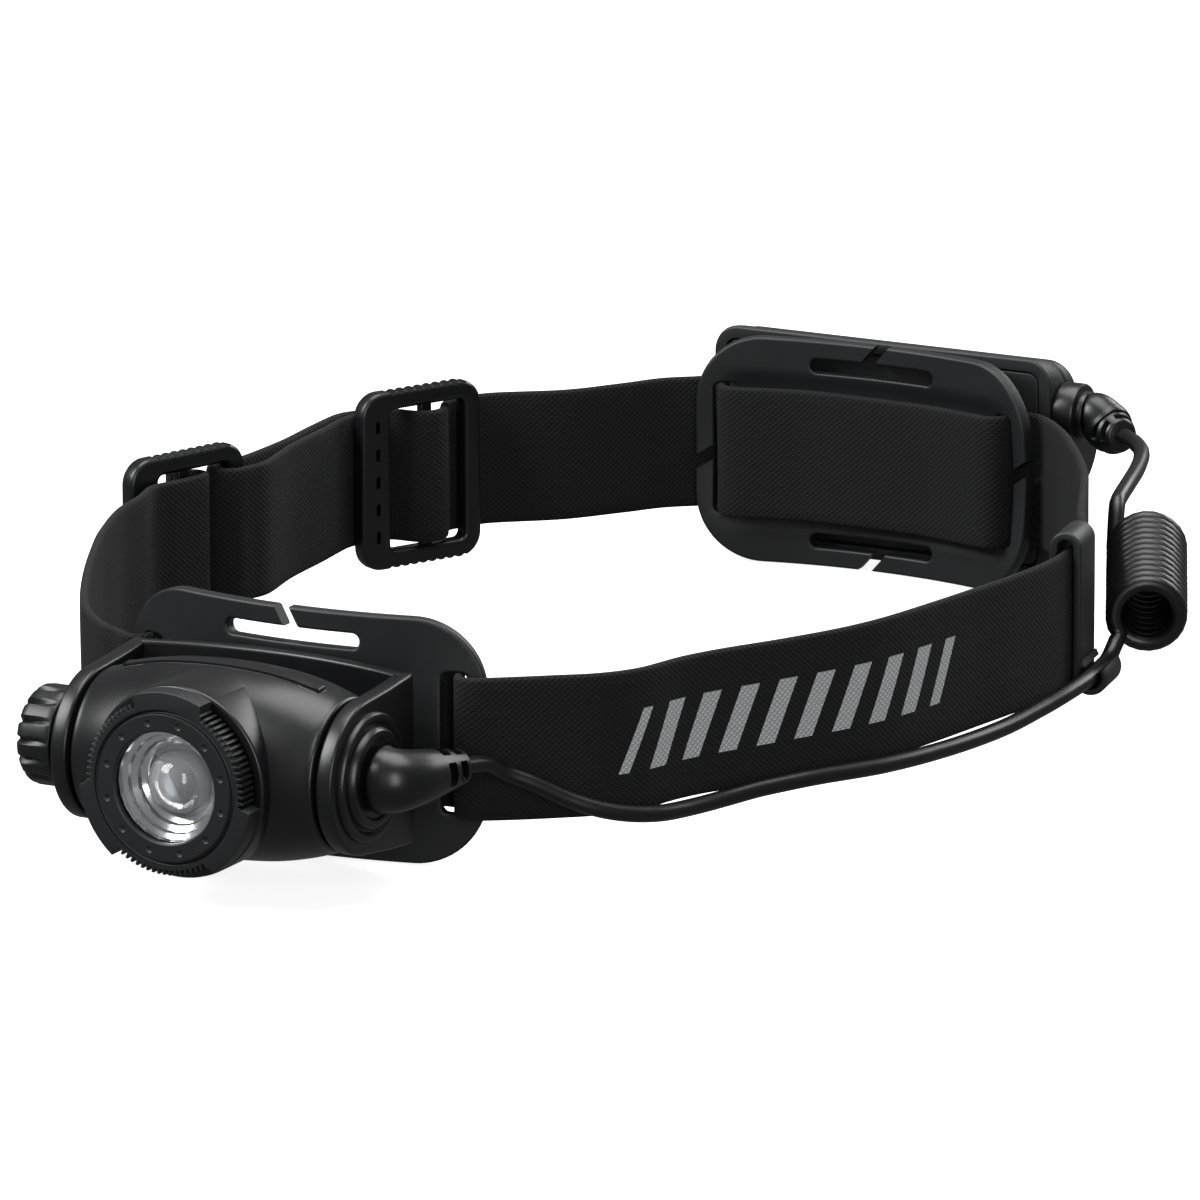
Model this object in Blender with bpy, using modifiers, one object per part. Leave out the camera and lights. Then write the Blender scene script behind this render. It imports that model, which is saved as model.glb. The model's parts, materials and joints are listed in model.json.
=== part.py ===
"""Rechargeable headlamp: a tilting, focusing lamp on the front plate of an elastic headband, and a
battery pack on the rear plate, joined by a cable with a coiled middle.

Layout frame, in millimetres until the last step: X to the wearer's left, Y from the lamp to the battery,
Z up, with the middle of the front plate's outer face at the origin. The empty "headband" then carries
everything to the part's own frame, whose origin is under the middle of the whole headlamp.
"""

import math

import bmesh
import bpy
import numpy as np
from mathutils import Matrix, Vector

MM = 0.001
GAP = 0.35  # between pieces that would touch

# Where the layout frame's origin lies in the part's own frame
LAYOUT_SHIFT = (-1.5, -101.3, 21.5)

# Headband webbing
STRAP_WIDTH = 25.0
STRAP_THICKNESS = 1.6

# Front and rear plates, one moulding used twice
PLATE_WIDTH = 71.0
PLATE_HEIGHT = 43.0
PLATE_THICKNESS = 2.5
PLATE_CORNER = 13.0
PLATE_BEND = 92.0
SIDE_SLOT_WIDTH = 4.5
SIDE_SLOT_HEIGHT = 25.6
SIDE_SLOT_X = 29.75
TOP_SLOT_LENGTH = 25.9
TOP_SLOT_WIDTH = 2.7
TOP_SLOT_Z = 16.66
ENTRY_CUT_WIDTH = 2.9
REAR_PLATE_Y = 220.0
SCREW_X = 8.0
SCREW_HOLE_RADIUS = 1.5
SCREW_HEAD_RADIUS = 2.3

# Lamp head
PIVOT = (0.0, -21.2, 0.0)
BARREL_HALF_LENGTH = 23.3
BARREL_END_RADIUS = 13.0
BARREL_MIDDLE_RADIUS = 16.8
WALL = 1.6
HUMP_RADIUS = 16.6
HUMP_FRONT_Y = -38.6
HOUSING_SPLIT_Y = -14.0
RING_FRONT_Y = -43.1
RING_BACK_Y = -39.0
APERTURE_RADIUS = 9.65
KNURL_RADIUS = 15.0
LUG_RADIUS = 16.5
LUG_COUNT = 3
LUG_HALF_ANGLE = 25.0
TEETH_PER_GAP = 12
LENS_CENTRE_Y = -36.9
LENS_RADIUS = 5.6
LENS_TRAVEL = 3.0

# Bracket that holds the lamp
EAR_OUTER_X = 27.2
EAR_INNER_X = 24.1
EAR_RADIUS = 13.3
BRACKET_REAR_Y = -5.5
BRACKET_TOP_Z = 14.5
BRACKET_BOTTOM_Z = -15.3
BRACKET_WALL = 2.3
BRACKET_BACK_BEND = 75.0
BUSH_RADIUS = 3.9
BUSH_HOLE_RADIUS = 4.25

# Dimmer knob
KNOB_RADIUS = 8.7
KNOB_INNER_X = -28.9
KNOB_OUTER_X = -37.2
KNOB_FLUTES = 15

# Battery pack
PACK_FRONT_Y = 223.4
PACK_WIDTH = 69.6
PACK_HEIGHT = 41.8
PACK_MIDDLE_Z = 0.7
PACK_FRAME_DEPTH = 7.0
PACK_BACK_HEIGHT = 38.2
PACK_COVER_DEPTH = 5.4
PACK_EDGE_RADIUS = 4.4
CELL_RADIUS = 9.15
CELL_LENGTH = 65.0
CELL_Y = 235.2
CELL_Z = 4.0
CELL_SHELL_RADIUS = 10.4
SOCKET_PLACE = (229.4, 10.9)
CONTACT_Z = -10.7
CONTACT_RADIUS = 3.3

# Cable
CABLE_DIAMETER = 3.0
COIL_OUTER_RADIUS = 7.4
COIL_NEAR = (90.0, 149.3, -3.3)
COIL_FAR = (73.5, 184.0, -0.2)

# Clip that hangs the cable on the strap: place and direction in plan, and its ring's middle across
CLIP_PLACE = ((83.1, 133.2), (-0.186, 0.9825))
CLIP_WIDTH = 10.0
CLIP_RING = (4.6, -10.2)

# Adjuster buckles: middle in plan, direction along the strap towards the rear, and size
BUCKLE_LENGTH = 26.8
BUCKLE_HEIGHT = 33.6
BUCKLE_THICKNESS = 3.4
FRONT_BUCKLE = ((-82.5, 107.1), (0.34, 0.94))
REAR_BUCKLE = ((-69.6, 171.2), (0.446, 0.895))

COLOURS = {
    "moulded_grey": ((0.028, 0.029, 0.031, 1), 0.55, 0.0),
    "lamp_black": ((0.018, 0.019, 0.021, 1), 0.38, 0.0),
    "rubber": ((0.012, 0.012, 0.013, 1), 0.6, 0.0),
    "cable_black": ((0.014, 0.014, 0.015, 1), 0.28, 0.0),
    "webbing": ((0.012, 0.012, 0.013, 1), 0.9, 0.0),
    "aluminium": ((0.75, 0.76, 0.78, 1), 0.35, 1.0),
    "chrome": ((0.85, 0.86, 0.88, 1), 0.06, 1.0),
    "steel": ((0.6, 0.61, 0.63, 1), 0.3, 1.0),
    "brass": ((0.72, 0.55, 0.25, 1), 0.3, 1.0),
    "clear": ((0.95, 0.96, 0.97, 1), 0.02, 0.0),
    "circuit_green": ((0.02, 0.09, 0.04, 1), 0.5, 0.0),
    "phosphor": ((0.85, 0.72, 0.18, 1), 0.5, 0.0),
    "cell_wrap": ((0.05, 0.11, 0.28, 1), 0.35, 0.0),
}


# --- scene, materials and placing -----------------------------------------------------------------

def clear_scene():
    for existing in list(bpy.data.objects):
        bpy.data.objects.remove(existing, do_unlink=True)


def new_collection(name):
    collection = bpy.data.collections.new(name)
    bpy.context.scene.collection.children.link(collection)
    return collection


def new_material(name):
    colour, roughness, metallic = COLOURS[name]
    material = bpy.data.materials.new(name)
    material.use_nodes = True
    shader = material.node_tree.nodes["Principled BSDF"]
    shader.inputs["Base Color"].default_value = colour
    shader.inputs["Roughness"].default_value = roughness
    shader.inputs["Metallic"].default_value = metallic
    return material


def metres(point):
    return Vector(point) * MM


def new_empty(name, location, parent=None):
    empty = bpy.data.objects.new(name, None)
    empty.empty_display_size = 10 * MM
    empty.location = metres(location)
    if parent is not None:
        empty.parent = parent
        empty.matrix_parent_inverse = Matrix.Translation(-parent_place[parent.name])
    parent_place[name] = metres(location)
    PARTS.objects.link(empty)
    return empty


def sub_part(shape, name, material, parent):
    """Name a finished shape, give it its material and hang it on its body's empty."""
    shape.name = name
    shape.data.name = name
    shape.data.materials.clear()
    shape.data.materials.append(MATERIALS[material])
    shape.parent = parent
    shape.matrix_parent_inverse = Matrix.Translation(-parent_place[parent.name])
    return shape


def helper(shape):
    """Keep a cutter or an added solid out of the finished part."""
    for collection in list(shape.users_collection):
        collection.objects.unlink(shape)
    CUTTERS.objects.link(shape)
    shape.hide_render = True
    shape.display_type = "WIRE"
    shape.parent = HEADBAND
    return shape


def boolean(target, other, operation="DIFFERENCE"):
    modifier = target.modifiers.new(operation.lower(), "BOOLEAN")
    modifier.operation = operation
    modifier.object = helper(other)
    modifier.solver = "EXACT"
    return target


# --- shapes ----------------------------------------------------------------------------------------

def link_mesh(mesh, location=(0, 0, 0), rotation=(0, 0, 0)):
    shape = bpy.data.objects.new(mesh.name, mesh)
    shape.location = metres(location)
    shape.rotation_euler = rotation
    PARTS.objects.link(shape)
    return shape


def smooth_shaded(shape, angle=35):
    shape.data.shade_smooth()
    shape.data.set_sharp_from_angle(angle=math.radians(angle))
    return shape


AXIS_TURN = {
    "X": (0, math.pi / 2, 0),
    "-X": (0, -math.pi / 2, 0),
    "Y": (-math.pi / 2, 0, 0),
    "-Y": (math.pi / 2, 0, 0),
    "Z": (0, 0, 0),
}


def box(low, high):
    """A box between two corners."""
    middle = [(a + b) / 2 for a, b in zip(low, high)]
    size = [b - a for a, b in zip(low, high)]
    mesh = bpy.data.meshes.new("box")
    cube = bmesh.new()
    bmesh.ops.create_cube(cube, size=1.0)
    bmesh.ops.scale(cube, vec=metres(size), verts=cube.verts)
    cube.to_mesh(mesh)
    cube.free()
    return link_mesh(mesh, middle)


def rod(centre, axis, length, radius, sides=32, end_radius=None):
    """A cylinder, or a cone when its far end has a radius of its own, centred on a point."""
    mesh = bpy.data.meshes.new("rod")
    cone = bmesh.new()
    far = radius if end_radius is None else end_radius
    bmesh.ops.create_cone(
        cone, cap_ends=True, segments=sides, radius1=radius * MM, radius2=far * MM, depth=length * MM
    )
    cone.to_mesh(mesh)
    cone.free()
    return smooth_shaded(link_mesh(mesh, centre, AXIS_TURN[axis]))


def turned(profile, centre, axis, steps=40, closed=False):
    """A profile of (radius, height) pairs turned about an axis. It runs down its outer side."""
    mesh = bpy.data.meshes.new("turned")
    points = [(radius * MM, 0, height * MM) for radius, height in profile]
    edges = [(i, i + 1) for i in range(len(points) - 1)]
    if closed:
        edges.append((len(points) - 1, 0))
    mesh.from_pydata(points, edges, [])
    shape = link_mesh(mesh, centre, AXIS_TURN[axis])
    screw = shape.modifiers.new("turn", "SCREW")
    screw.steps = steps
    screw.render_steps = steps
    screw.use_merge_vertices = True
    screw.merge_threshold = 0.00001
    screw.use_smooth_shade = False
    return shape


def tube_profile(outer, inner, low, high):
    """The closed profile of a plain tube or washer."""
    return [(outer, high), (outer, low), (inner, low), (inner, high)]


def arc(centre, radius, start, end, steps):
    """Points along an arc, angles in degrees."""
    angles = np.radians(np.linspace(start, end, steps + 1))
    return [(centre[0] + radius * math.cos(a), centre[1] + radius * math.sin(a)) for a in angles]


def rounded_rectangle(width, height, radius, steps=5, centre=(0, 0)):
    x = width / 2 - radius
    y = height / 2 - radius
    outline = []
    for sx, sy, start in ((1, 1, 0), (-1, 1, 90), (-1, -1, 180), (1, -1, 270)):
        corner = (centre[0] + sx * x, centre[1] + sy * y)
        outline += arc(corner, radius, start, start + 90, steps)
    return outline


def prism(outlines, thickness, location=(0, 0, 0), rotation=(0, 0, 0)):
    """Closed 2D outlines, the first one outside and the rest holes, given a thickness, as a mesh."""
    curve = bpy.data.curves.new("outline", "CURVE")
    curve.dimensions = "2D"
    curve.fill_mode = "BOTH"
    curve.extrude = thickness / 2 * MM
    for outline in outlines:
        spline = curve.splines.new("POLY")
        spline.points.add(len(outline) - 1)
        for point, (x, y) in zip(spline.points, outline):
            point.co = (x * MM, y * MM, 0, 1)
        spline.use_cyclic_u = True
    drawn = bpy.data.objects.new("outline", curve)
    PARTS.objects.link(drawn)
    return mesh_of(drawn, location, rotation)


def mesh_of(drawn, location=(0, 0, 0), rotation=(0, 0, 0)):
    """The mesh of a curve object, with its caps welded on, in place of the curve."""
    graph = bpy.context.evaluated_depsgraph_get()
    mesh = bpy.data.meshes.new_from_object(drawn.evaluated_get(graph))
    welded = bmesh.new()
    welded.from_mesh(mesh)
    bmesh.ops.remove_doubles(welded, verts=welded.verts, dist=0.000001)
    welded.to_mesh(mesh)
    welded.free()
    bpy.data.objects.remove(drawn, do_unlink=True)
    return link_mesh(mesh, location, rotation)


def smooth_route(points, spacing):
    """Points at an even spacing along a smooth curve (a Catmull-Rom spline) through the given ones."""
    given = [np.array(p, float) for p in points]
    ends = [2 * given[0] - given[1]] + given + [2 * given[-1] - given[-2]]
    fine = []
    for a, b, c, d in zip(ends, ends[1:], ends[2:], ends[3:]):
        for t in np.linspace(0, 1, 24, endpoint=False):
            fine.append(
                0.5 * (2 * b + (c - a) * t + (2 * a - 5 * b + 4 * c - d) * t**2
                       + (3 * b - a - 3 * c + d) * t**3)
            )
    fine.append(given[-1])
    fine = np.array(fine)
    reach = np.concatenate([[0], np.cumsum(np.linalg.norm(np.diff(fine, axis=0), axis=1))])
    count = max(2, round(reach[-1] / spacing) + 1)
    wanted = np.linspace(0, reach[-1], count)
    return [tuple(np.interp(w, reach, fine[:, k]) for k in range(fine.shape[1])) for w in wanted]


def ribbon(points, spacing):
    """Webbing on edge along a route in plan: a raised line given its thickness by Solidify."""
    curve = bpy.data.curves.new("route", "CURVE")
    curve.dimensions = "2D"
    curve.fill_mode = "NONE"
    curve.extrude = STRAP_WIDTH / 2 * MM
    route = smooth_route(points, spacing)
    spline = curve.splines.new("POLY")
    spline.points.add(len(route) - 1)
    for point, (x, y) in zip(spline.points, route):
        point.co = (x * MM, y * MM, 0, 1)
    drawn = bpy.data.objects.new("route", curve)
    PARTS.objects.link(drawn)
    strip = mesh_of(drawn)
    solid = strip.modifiers.new("thickness", "SOLIDIFY")
    solid.thickness = STRAP_THICKNESS * MM
    solid.offset = 0.0
    solid.use_even_offset = True
    return strip


def tube(points, radius, resolution=2, radii=None):
    """A round cord or boot along a 3D route: a curve with filled ends."""
    curve = bpy.data.curves.new("tube", "CURVE")
    curve.dimensions = "3D"
    curve.bevel_depth = radius * MM
    curve.bevel_resolution = resolution
    curve.use_fill_caps = True
    spline = curve.splines.new("POLY")
    spline.points.add(len(points) - 1)
    for i, place in enumerate(points):
        spline.points[i].co = (*metres(place), 1)
        spline.points[i].radius = 1.0 if radii is None else radii[i]
    shape = bpy.data.objects.new("tube", curve)
    PARTS.objects.link(shape)
    return shape


# --- plates -------------------------------------------------------------------------------------------

def plate(name, y, facing):
    """A bent plate. facing is +1 when its hollow side looks to +Y, and -1 the other way round."""
    half_turn = math.pi / 2 if facing > 0 else -math.pi / 2
    side = rounded_rectangle(SIDE_SLOT_WIDTH, SIDE_SLOT_HEIGHT, 1.2, 2)
    top = rounded_rectangle(TOP_SLOT_LENGTH, TOP_SLOT_WIDTH, TOP_SLOT_WIDTH / 2 - 0.01, 3)
    outlines = [rounded_rectangle(PLATE_WIDTH, PLATE_HEIGHT, PLATE_CORNER, 7)]
    outlines += [[(x + s * SIDE_SLOT_X, z) for x, z in side] for s in (1, -1)]
    outlines += [[(x, z + s * TOP_SLOT_Z) for x, z in top] for s in (1, -1)]
    flat = prism(outlines, 40, (0, y, 0), (half_turn, 0, 0 if facing > 0 else math.pi))
    outer_bend = PLATE_BEND + PLATE_THICKNESS
    spread = math.degrees(math.asin((PLATE_WIDTH / 2 + 3) / PLATE_BEND))
    band = arc((0, 0), outer_bend, 90 - spread, 90 + spread, 22)
    band += arc((0, 0), PLATE_BEND, 90 + spread, 90 - spread, 22)
    bend_turn = math.pi if facing > 0 else 0
    bent = prism([band], PLATE_HEIGHT + 10, (0, y + facing * outer_bend, 0), (0, 0, bend_turn))
    boolean(bent, flat, "INTERSECT")
    w = ENTRY_CUT_WIDTH / 2
    h = PLATE_HEIGHT / 2 + 1
    across = [(1.0 - w, TOP_SLOT_Z), (1.0 + w, TOP_SLOT_Z), (-2.2 + w, h), (-2.2 - w, h)]
    x = PLATE_WIDTH / 2 + 1
    sideways = [(SIDE_SLOT_X, 0.6 + w), (SIDE_SLOT_X, 0.6 - w), (x, -3.7 - w), (x, -3.7 + w)]
    cuts = [across, sideways]
    cuts += [[(-px, -pz) for px, pz in outline] for outline in (across, sideways)]
    turn = 0 if facing > 0 else math.pi
    for outline in cuts:
        boolean(bent, prism([outline], 60, (0, y, 0), (math.pi / 2, 0, turn)))
    for s in (1, -1):
        boolean(bent, rod((s * SCREW_X, y, 0), "Y", 30, SCREW_HOLE_RADIUS, 16))
        head_side = y + facing * (PLATE_THICKNESS + 4.0 - 0.95)
        boolean(bent, rod((s * SCREW_X, head_side, 0), "Y", 8, SCREW_HEAD_RADIUS + 0.35, 16))
    return sub_part(bent, name, "moulded_grey", HEADBAND)


# --- webbing ----------------------------------------------------------------------------------------

def beside(buckle, along, inward):
    """A point given along a buckle's line towards the rear, and inward towards the head."""
    (x, y), (dx, dy) = buckle
    return (x + along * dx + inward * dy, y + along * dy - inward * dx)


def plate_route_front(side):
    """From behind the front plate's middle out through its side slot, on the given side."""
    half = [(3.0, 5.15), (12, 5.9), (20, 7.3), (25.2, 8.8), (27.7, 8.6), (29.5, 6.4),
            (30.2, 4.4), (31.4, 2.7), (33.6, 2.7)]
    return [(side * x, y) for x, y in half]


def plate_route_rear(side):
    """From the outer side of the rear plate in through its side slot, towards the middle."""
    half = [(33.6, 219.9), (31.4, 219.7), (30.2, 218.0), (29.5, 216.1), (27.7, 213.9), (25.0, 213.7),
            (17, 215.8), (9, 217.0)]
    return [(side * x, y) for x, y in half]


def webbing():
    right = plate_route_front(1) + [
        (36.2, 4.3), (40.0, 6.9), (45.2, 10.8), (50.9, 15.5), (55.6, 22.4), (59.3, 34.0), (68.3, 52.1),
        (76.9, 71.5), (82.1, 98.9), (83.8, 109.6), (84.6, 120.0), (84.0, 128.5), (82.2, 138.0),
        (79.2, 146.0), (72.8, 158.0),
        (60.3, 185.2), (47.1, 206.0), (38.6, 216.2),
    ] + plate_route_rear(1) + [(3.0, 217.4)]
    split = right.index((82.1, 98.9))
    sub_part(ribbon(right[: split + 1], 3.2), "strap_front_right", "webbing", HEADBAND)
    rest = right[split:]
    onward = Vector(rest[1]) - Vector(rest[0])
    start = Vector(rest[0]) + GAP * onward.normalized()
    sub_part(ribbon([tuple(start)] + rest[1:], 3.2), "strap_rear_right", "webbing", HEADBAND)

    left_rear = [(2.3, 217.4)] + plate_route_rear(-1)[::-1]
    left_rear += [(-36.2, 217.8), (-41.1, 213.6), (-45.9, 206.5), (-53.0, 196.8)]
    over_the_bar = [(18, -2.6), (12, -3.0), (8.6, -2.8), (6.4, -0.6), (4.5, 1.7), (1.8, 2.5), (-1.0, 1.2),
                    (-3.4, -2.6), (-6, -4.6), (-9, -5.0), (-14, -5.0)]
    for along, inward in over_the_bar:
        left_rear.append(beside(REAR_BUCKLE, along, inward))
    left_rear += [(-80.0, 150.0), (-79.3, 138.0)]
    for along, inward in ((18, -3.4), (12.6, -2.95)):
        left_rear.append(beside(FRONT_BUCKLE, along, inward))
    sub_part(ribbon(left_rear, 2.9), "strap_rear_left", "webbing", HEADBAND)

    round_the_bar = [(12.2, -3.1), (9.6, -3.0), (6.9, 0.0), (9.6, 3.0), (13, 3.1), (18, 2.2)]
    adjuster = [beside(FRONT_BUCKLE, along, inward) for along, inward in round_the_bar]
    adjuster += [(-76.3, 135.0), (-77.2, 148.0)]
    adjuster += [beside(REAR_BUCKLE, along, -2.75) for along in (-13.6, -8.2)]
    sub_part(ribbon(adjuster, 2.6), "strap_adjuster_loop", "webbing", HEADBAND)

    left_front = [(-2.6, 5.15)] + plate_route_front(-1)[1:]
    left_front += [
        (-36.2, 4.3), (-41.2, 7.4), (-48.6, 15.0), (-54.6, 24.4), (-64.0, 41.8), (-72.0, 58.8),
        (-75.8, 68.4), (-79.6, 79.4), (-81.2, 89.1),
    ]
    behind_the_bar = [(-10, 3.1), (-4, 2.9), (0.4, 2.7), (3.2, 2.1), (4.3, 0.0), (2.6, -2.0), (-1.6, -2.3)]
    for along, inward in behind_the_bar:
        left_front.append(beside(FRONT_BUCKLE, along, inward))
    sub_part(ribbon(left_front, 2.9), "strap_front_left", "webbing", HEADBAND)


def buckle(name, place, bar_at, bar_thickness):
    """A ladder-lock frame: a toothed front bar, a thin bar in its window, and a plain rear bar."""
    half = BUCKLE_LENGTH / 2
    outline = rounded_rectangle(BUCKLE_LENGTH, BUCKLE_HEIGHT, 3.6, 5)
    window_low = -6.9
    window_high = half - 3.7
    window = rounded_rectangle(
        window_high - window_low, STRAP_WIDTH + 1.6, 1.0, 2, ((window_low + window_high) / 2, 0)
    )
    frame = prism([outline, window], BUCKLE_THICKNESS)
    for row in range(5):
        z = (row - 2) * 5.2
        tooth_hole = prism([rounded_rectangle(0.9, 2.4, 0.2, 1, (-9.9, z))], 12)
        boolean(frame, tooth_hole)
    for rib in range(7):
        for side in (1, -1):
            centre = ((rib - 3) * 2.0 - 0.5, side * (BUCKLE_HEIGHT / 2 + 0.25))
            boolean(frame, prism([arc(centre, 0.75, 0, 300, 5)], 12))
    thin_bar = box((bar_at - 1.3, -STRAP_WIDTH / 2 - 1.6, -bar_thickness / 2),
                   (bar_at + 1.3, STRAP_WIDTH / 2 + 1.6, bar_thickness / 2))
    boolean(frame, thin_bar, "UNION")
    (x, y), (dx, dy) = place
    turn = Matrix(((dx, 0, dy), (dy, 0, -dx), (0, 1, 0))).to_4x4()
    seat = Matrix.Translation(metres((x, y, 0))) @ turn
    for piece in [frame] + [modifier.object for modifier in frame.modifiers]:
        piece.matrix_basis = seat @ piece.matrix_basis
    return sub_part(frame, name, "lamp_black", HEADBAND)


def strap_clip():
    """A hook over the strap's top edge, down its outer side, with an open ring for the cable."""
    outer = STRAP_THICKNESS / 2 + 0.6
    shell = 1.5
    top = STRAP_WIDTH / 2 + 0.4
    hook = [(outer, -STRAP_WIDTH / 2 - 0.4), (outer + shell, -STRAP_WIDTH / 2 - 0.8)]
    hook += arc((0, top), outer + shell, 0, 180, 10)
    hook += [(-outer - shell, top - 3.2), (-outer, top - 3.2)]
    hook += arc((0, top), outer, 180, 0, 8)
    (x, y), (dx, dy) = CLIP_PLACE
    seat = Matrix(((dy, 0, dx, x * MM), (-dx, 0, dy, y * MM), (0, 1, 0, 0), (0, 0, 0, 1)))
    body = prism([hook], CLIP_WIDTH)
    inner = CABLE_DIAMETER / 2 + 0.55
    ring = arc(CLIP_RING, inner + 1.2, 115, 395, 18) + arc(CLIP_RING, inner, 395, 115, 14)
    boolean(body, prism([ring], CLIP_WIDTH), "UNION")
    for piece in [body] + [modifier.object for modifier in body.modifiers]:
        piece.matrix_basis = seat @ piece.matrix_basis
    return sub_part(body, "strap_cable_clip", "moulded_grey", HEADBAND)


# --- lamp -------------------------------------------------------------------------------------------

def barrel_profile(inset):
    """Half-lengths and radii of the barrel's crowned outline, less an inset all round."""
    half = BARREL_HALF_LENGTH - inset
    rise = BARREL_MIDDLE_RADIUS - BARREL_END_RADIUS
    outline = []
    for x in np.linspace(half, -half, 9):
        crown = rise * (1 - abs(x / BARREL_HALF_LENGTH) ** 2.4)
        outline.append((BARREL_END_RADIUS + crown - inset, x))
    return [(0, half)] + outline + [(0, -half)]


def lamp_solid():
    """The closed outer form of the lamp: a crowned barrel across, with a round hump to the front."""
    barrel = turned(barrel_profile(0), PIVOT, "X", 36)
    hump_length = PIVOT[1] - HUMP_FRONT_Y
    hump = rod((0, PIVOT[1] - hump_length / 2, 0), "Y", hump_length, HUMP_RADIUS, 36)
    return boolean(barrel, hump, "UNION")


def lamp_housing(name, keep_front):
    """One shell of the lamp housing, cut from the hollow outer form at the split plane."""
    shell = lamp_solid()
    boolean(shell, turned(barrel_profile(WALL), PIVOT, "X", 24))
    bore_length = PIVOT[1] - HUMP_FRONT_Y + 2
    boolean(shell, rod((0, PIVOT[1] - bore_length / 2, 0), "Y", bore_length, HUMP_RADIUS - WALL, 30))
    for side in (1, -1):
        boolean(shell, rod((side * BARREL_HALF_LENGTH, PIVOT[1], PIVOT[2]), "X", 6, BUSH_HOLE_RADIUS, 24))
    edge = HOUSING_SPLIT_Y + (-0.15 if keep_front else 0.15)
    low, high = (edge, 60) if keep_front else (-60, edge)
    boolean(shell, box((-30, low, -30), (30, high, 30)))
    return sub_part(shell, name, "lamp_black", LAMP)


def ring_outline():
    """The focus ring seen from the front: three smooth lugs with fine teeth between them."""
    outline = []
    sector = 360 / LUG_COUNT
    for lug in range(LUG_COUNT):
        middle = lug * sector - 32
        outline += arc((0, 0), LUG_RADIUS, middle - LUG_HALF_ANGLE + 1, middle + LUG_HALF_ANGLE - 1, 7)
        pitch = (sector - 2 * LUG_HALF_ANGLE) / TEETH_PER_GAP
        for tooth in range(TEETH_PER_GAP):
            start = middle + LUG_HALF_ANGLE + tooth * pitch
            outline += arc((0, 0), KNURL_RADIUS - 0.9, start + 0.1 * pitch, start + 0.4 * pitch, 1)
            outline += arc((0, 0), KNURL_RADIUS, start + 0.6 * pitch, start + 0.9 * pitch, 1)
    return outline


def focus_assembly():
    depth = RING_BACK_Y - RING_FRONT_Y
    hole = arc((0, 0), 12.3, 0, 348, 29)
    middle_y = (RING_FRONT_Y + RING_BACK_Y) / 2
    ring = prism([ring_outline(), hole], depth, (0, middle_y, 0), AXIS_TURN["-Y"])
    sleeve = turned([(12.9, -30.2), (12.9, RING_FRONT_Y + 0.6), (APERTURE_RADIUS, RING_FRONT_Y),
                     (APERTURE_RADIUS, RING_FRONT_Y + 1.0), (12.0, RING_FRONT_Y + 1.4), (12.0, -30.2)],
                    (0, 0, 0), "Y", 30, closed=True)
    sub_part(boolean(ring, sleeve, "UNION"), "focus_ring", "moulded_grey", FOCUS)

    front = RING_FRONT_Y + 1.8
    carrier = turned(tube_profile(11.6, 10.5, front, -31.5), (0, 0, 0), "Y", 30, closed=True)
    sub_part(carrier, "lens_carrier", "lamp_black", LENS)
    dome = [(LENS_RADIUS * math.sin(a), LENS_CENTRE_Y - LENS_RADIUS * math.cos(a))
            for a in np.linspace(math.radians(95), math.radians(10), 7)]
    stub = [(0.0, -32.4), (3.6, -32.4), (5.0, -34.6), (10.1, -34.6), (10.1, -36.2), (6.6, -36.5)]
    lens = turned(stub + dome + [(0.0, LENS_CENTRE_Y - LENS_RADIUS)], (0, 0, 0), "Y", 28)
    lens.modifiers["turn"].use_smooth_shade = True
    sub_part(lens, "collimator_lens", "clear", LENS)
    cup = turned([(10.15, -36.6), (10.15, front), (9.7, front), (9.0, -39.4), (6.4, -36.95)],
                 (0, 0, 0), "Y", 28, closed=True)
    sub_part(cup, "reflector_cup", "chrome", LENS)
    seal = turned([(13.92 + 0.6 * math.cos(a), -35.5 + 0.6 * math.sin(a))
                   for a in np.linspace(0, -2 * math.pi, 6, endpoint=False)], (0, 0, 0), "Y", 24, closed=True)
    sub_part(seal, "ring_seal", "rubber", LAMP)


def lamp_inside():
    """What the housing holds: heat sink, LED and its board, driver board and pivot bushes."""
    sink = [(0, -17.5), (11.5, -17.5)]
    for fin in range(3):
        y = -18.7 - fin * 2.2
        sink += [(11.5, y), (9.0, y), (9.0, y - 1.0), (11.5, y - 1.0)]
    sink += [(11.5, -25.2), (0, -25.2)]
    sub_part(turned(sink, (0, 0, 0), "Y", 20), "heat_sink", "aluminium", LAMP)
    sub_part(rod((0, -26.15, 0), "Y", 1.2, 9.0, 32), "led_board", "aluminium", LAMP)
    sub_part(box((-1.75, -28.0, -1.75), (1.75, -27.1, 1.75)), "led", "phosphor", LAMP)
    sub_part(box((-15, -13.4, -8), (15, -12.2, 8)), "driver_board", "circuit_green", LAMP)
    for side, name in ((1, "pivot_bush_cable_side"), (-1, "pivot_bush_knob_side")):
        profile = tube_profile(BUSH_RADIUS, 2.1, 21.3, EAR_OUTER_X)
        bush = turned(profile, PIVOT, "X" if side > 0 else "-X", 24, closed=True)
        sub_part(bush, name, "steel", LAMP)


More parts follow.
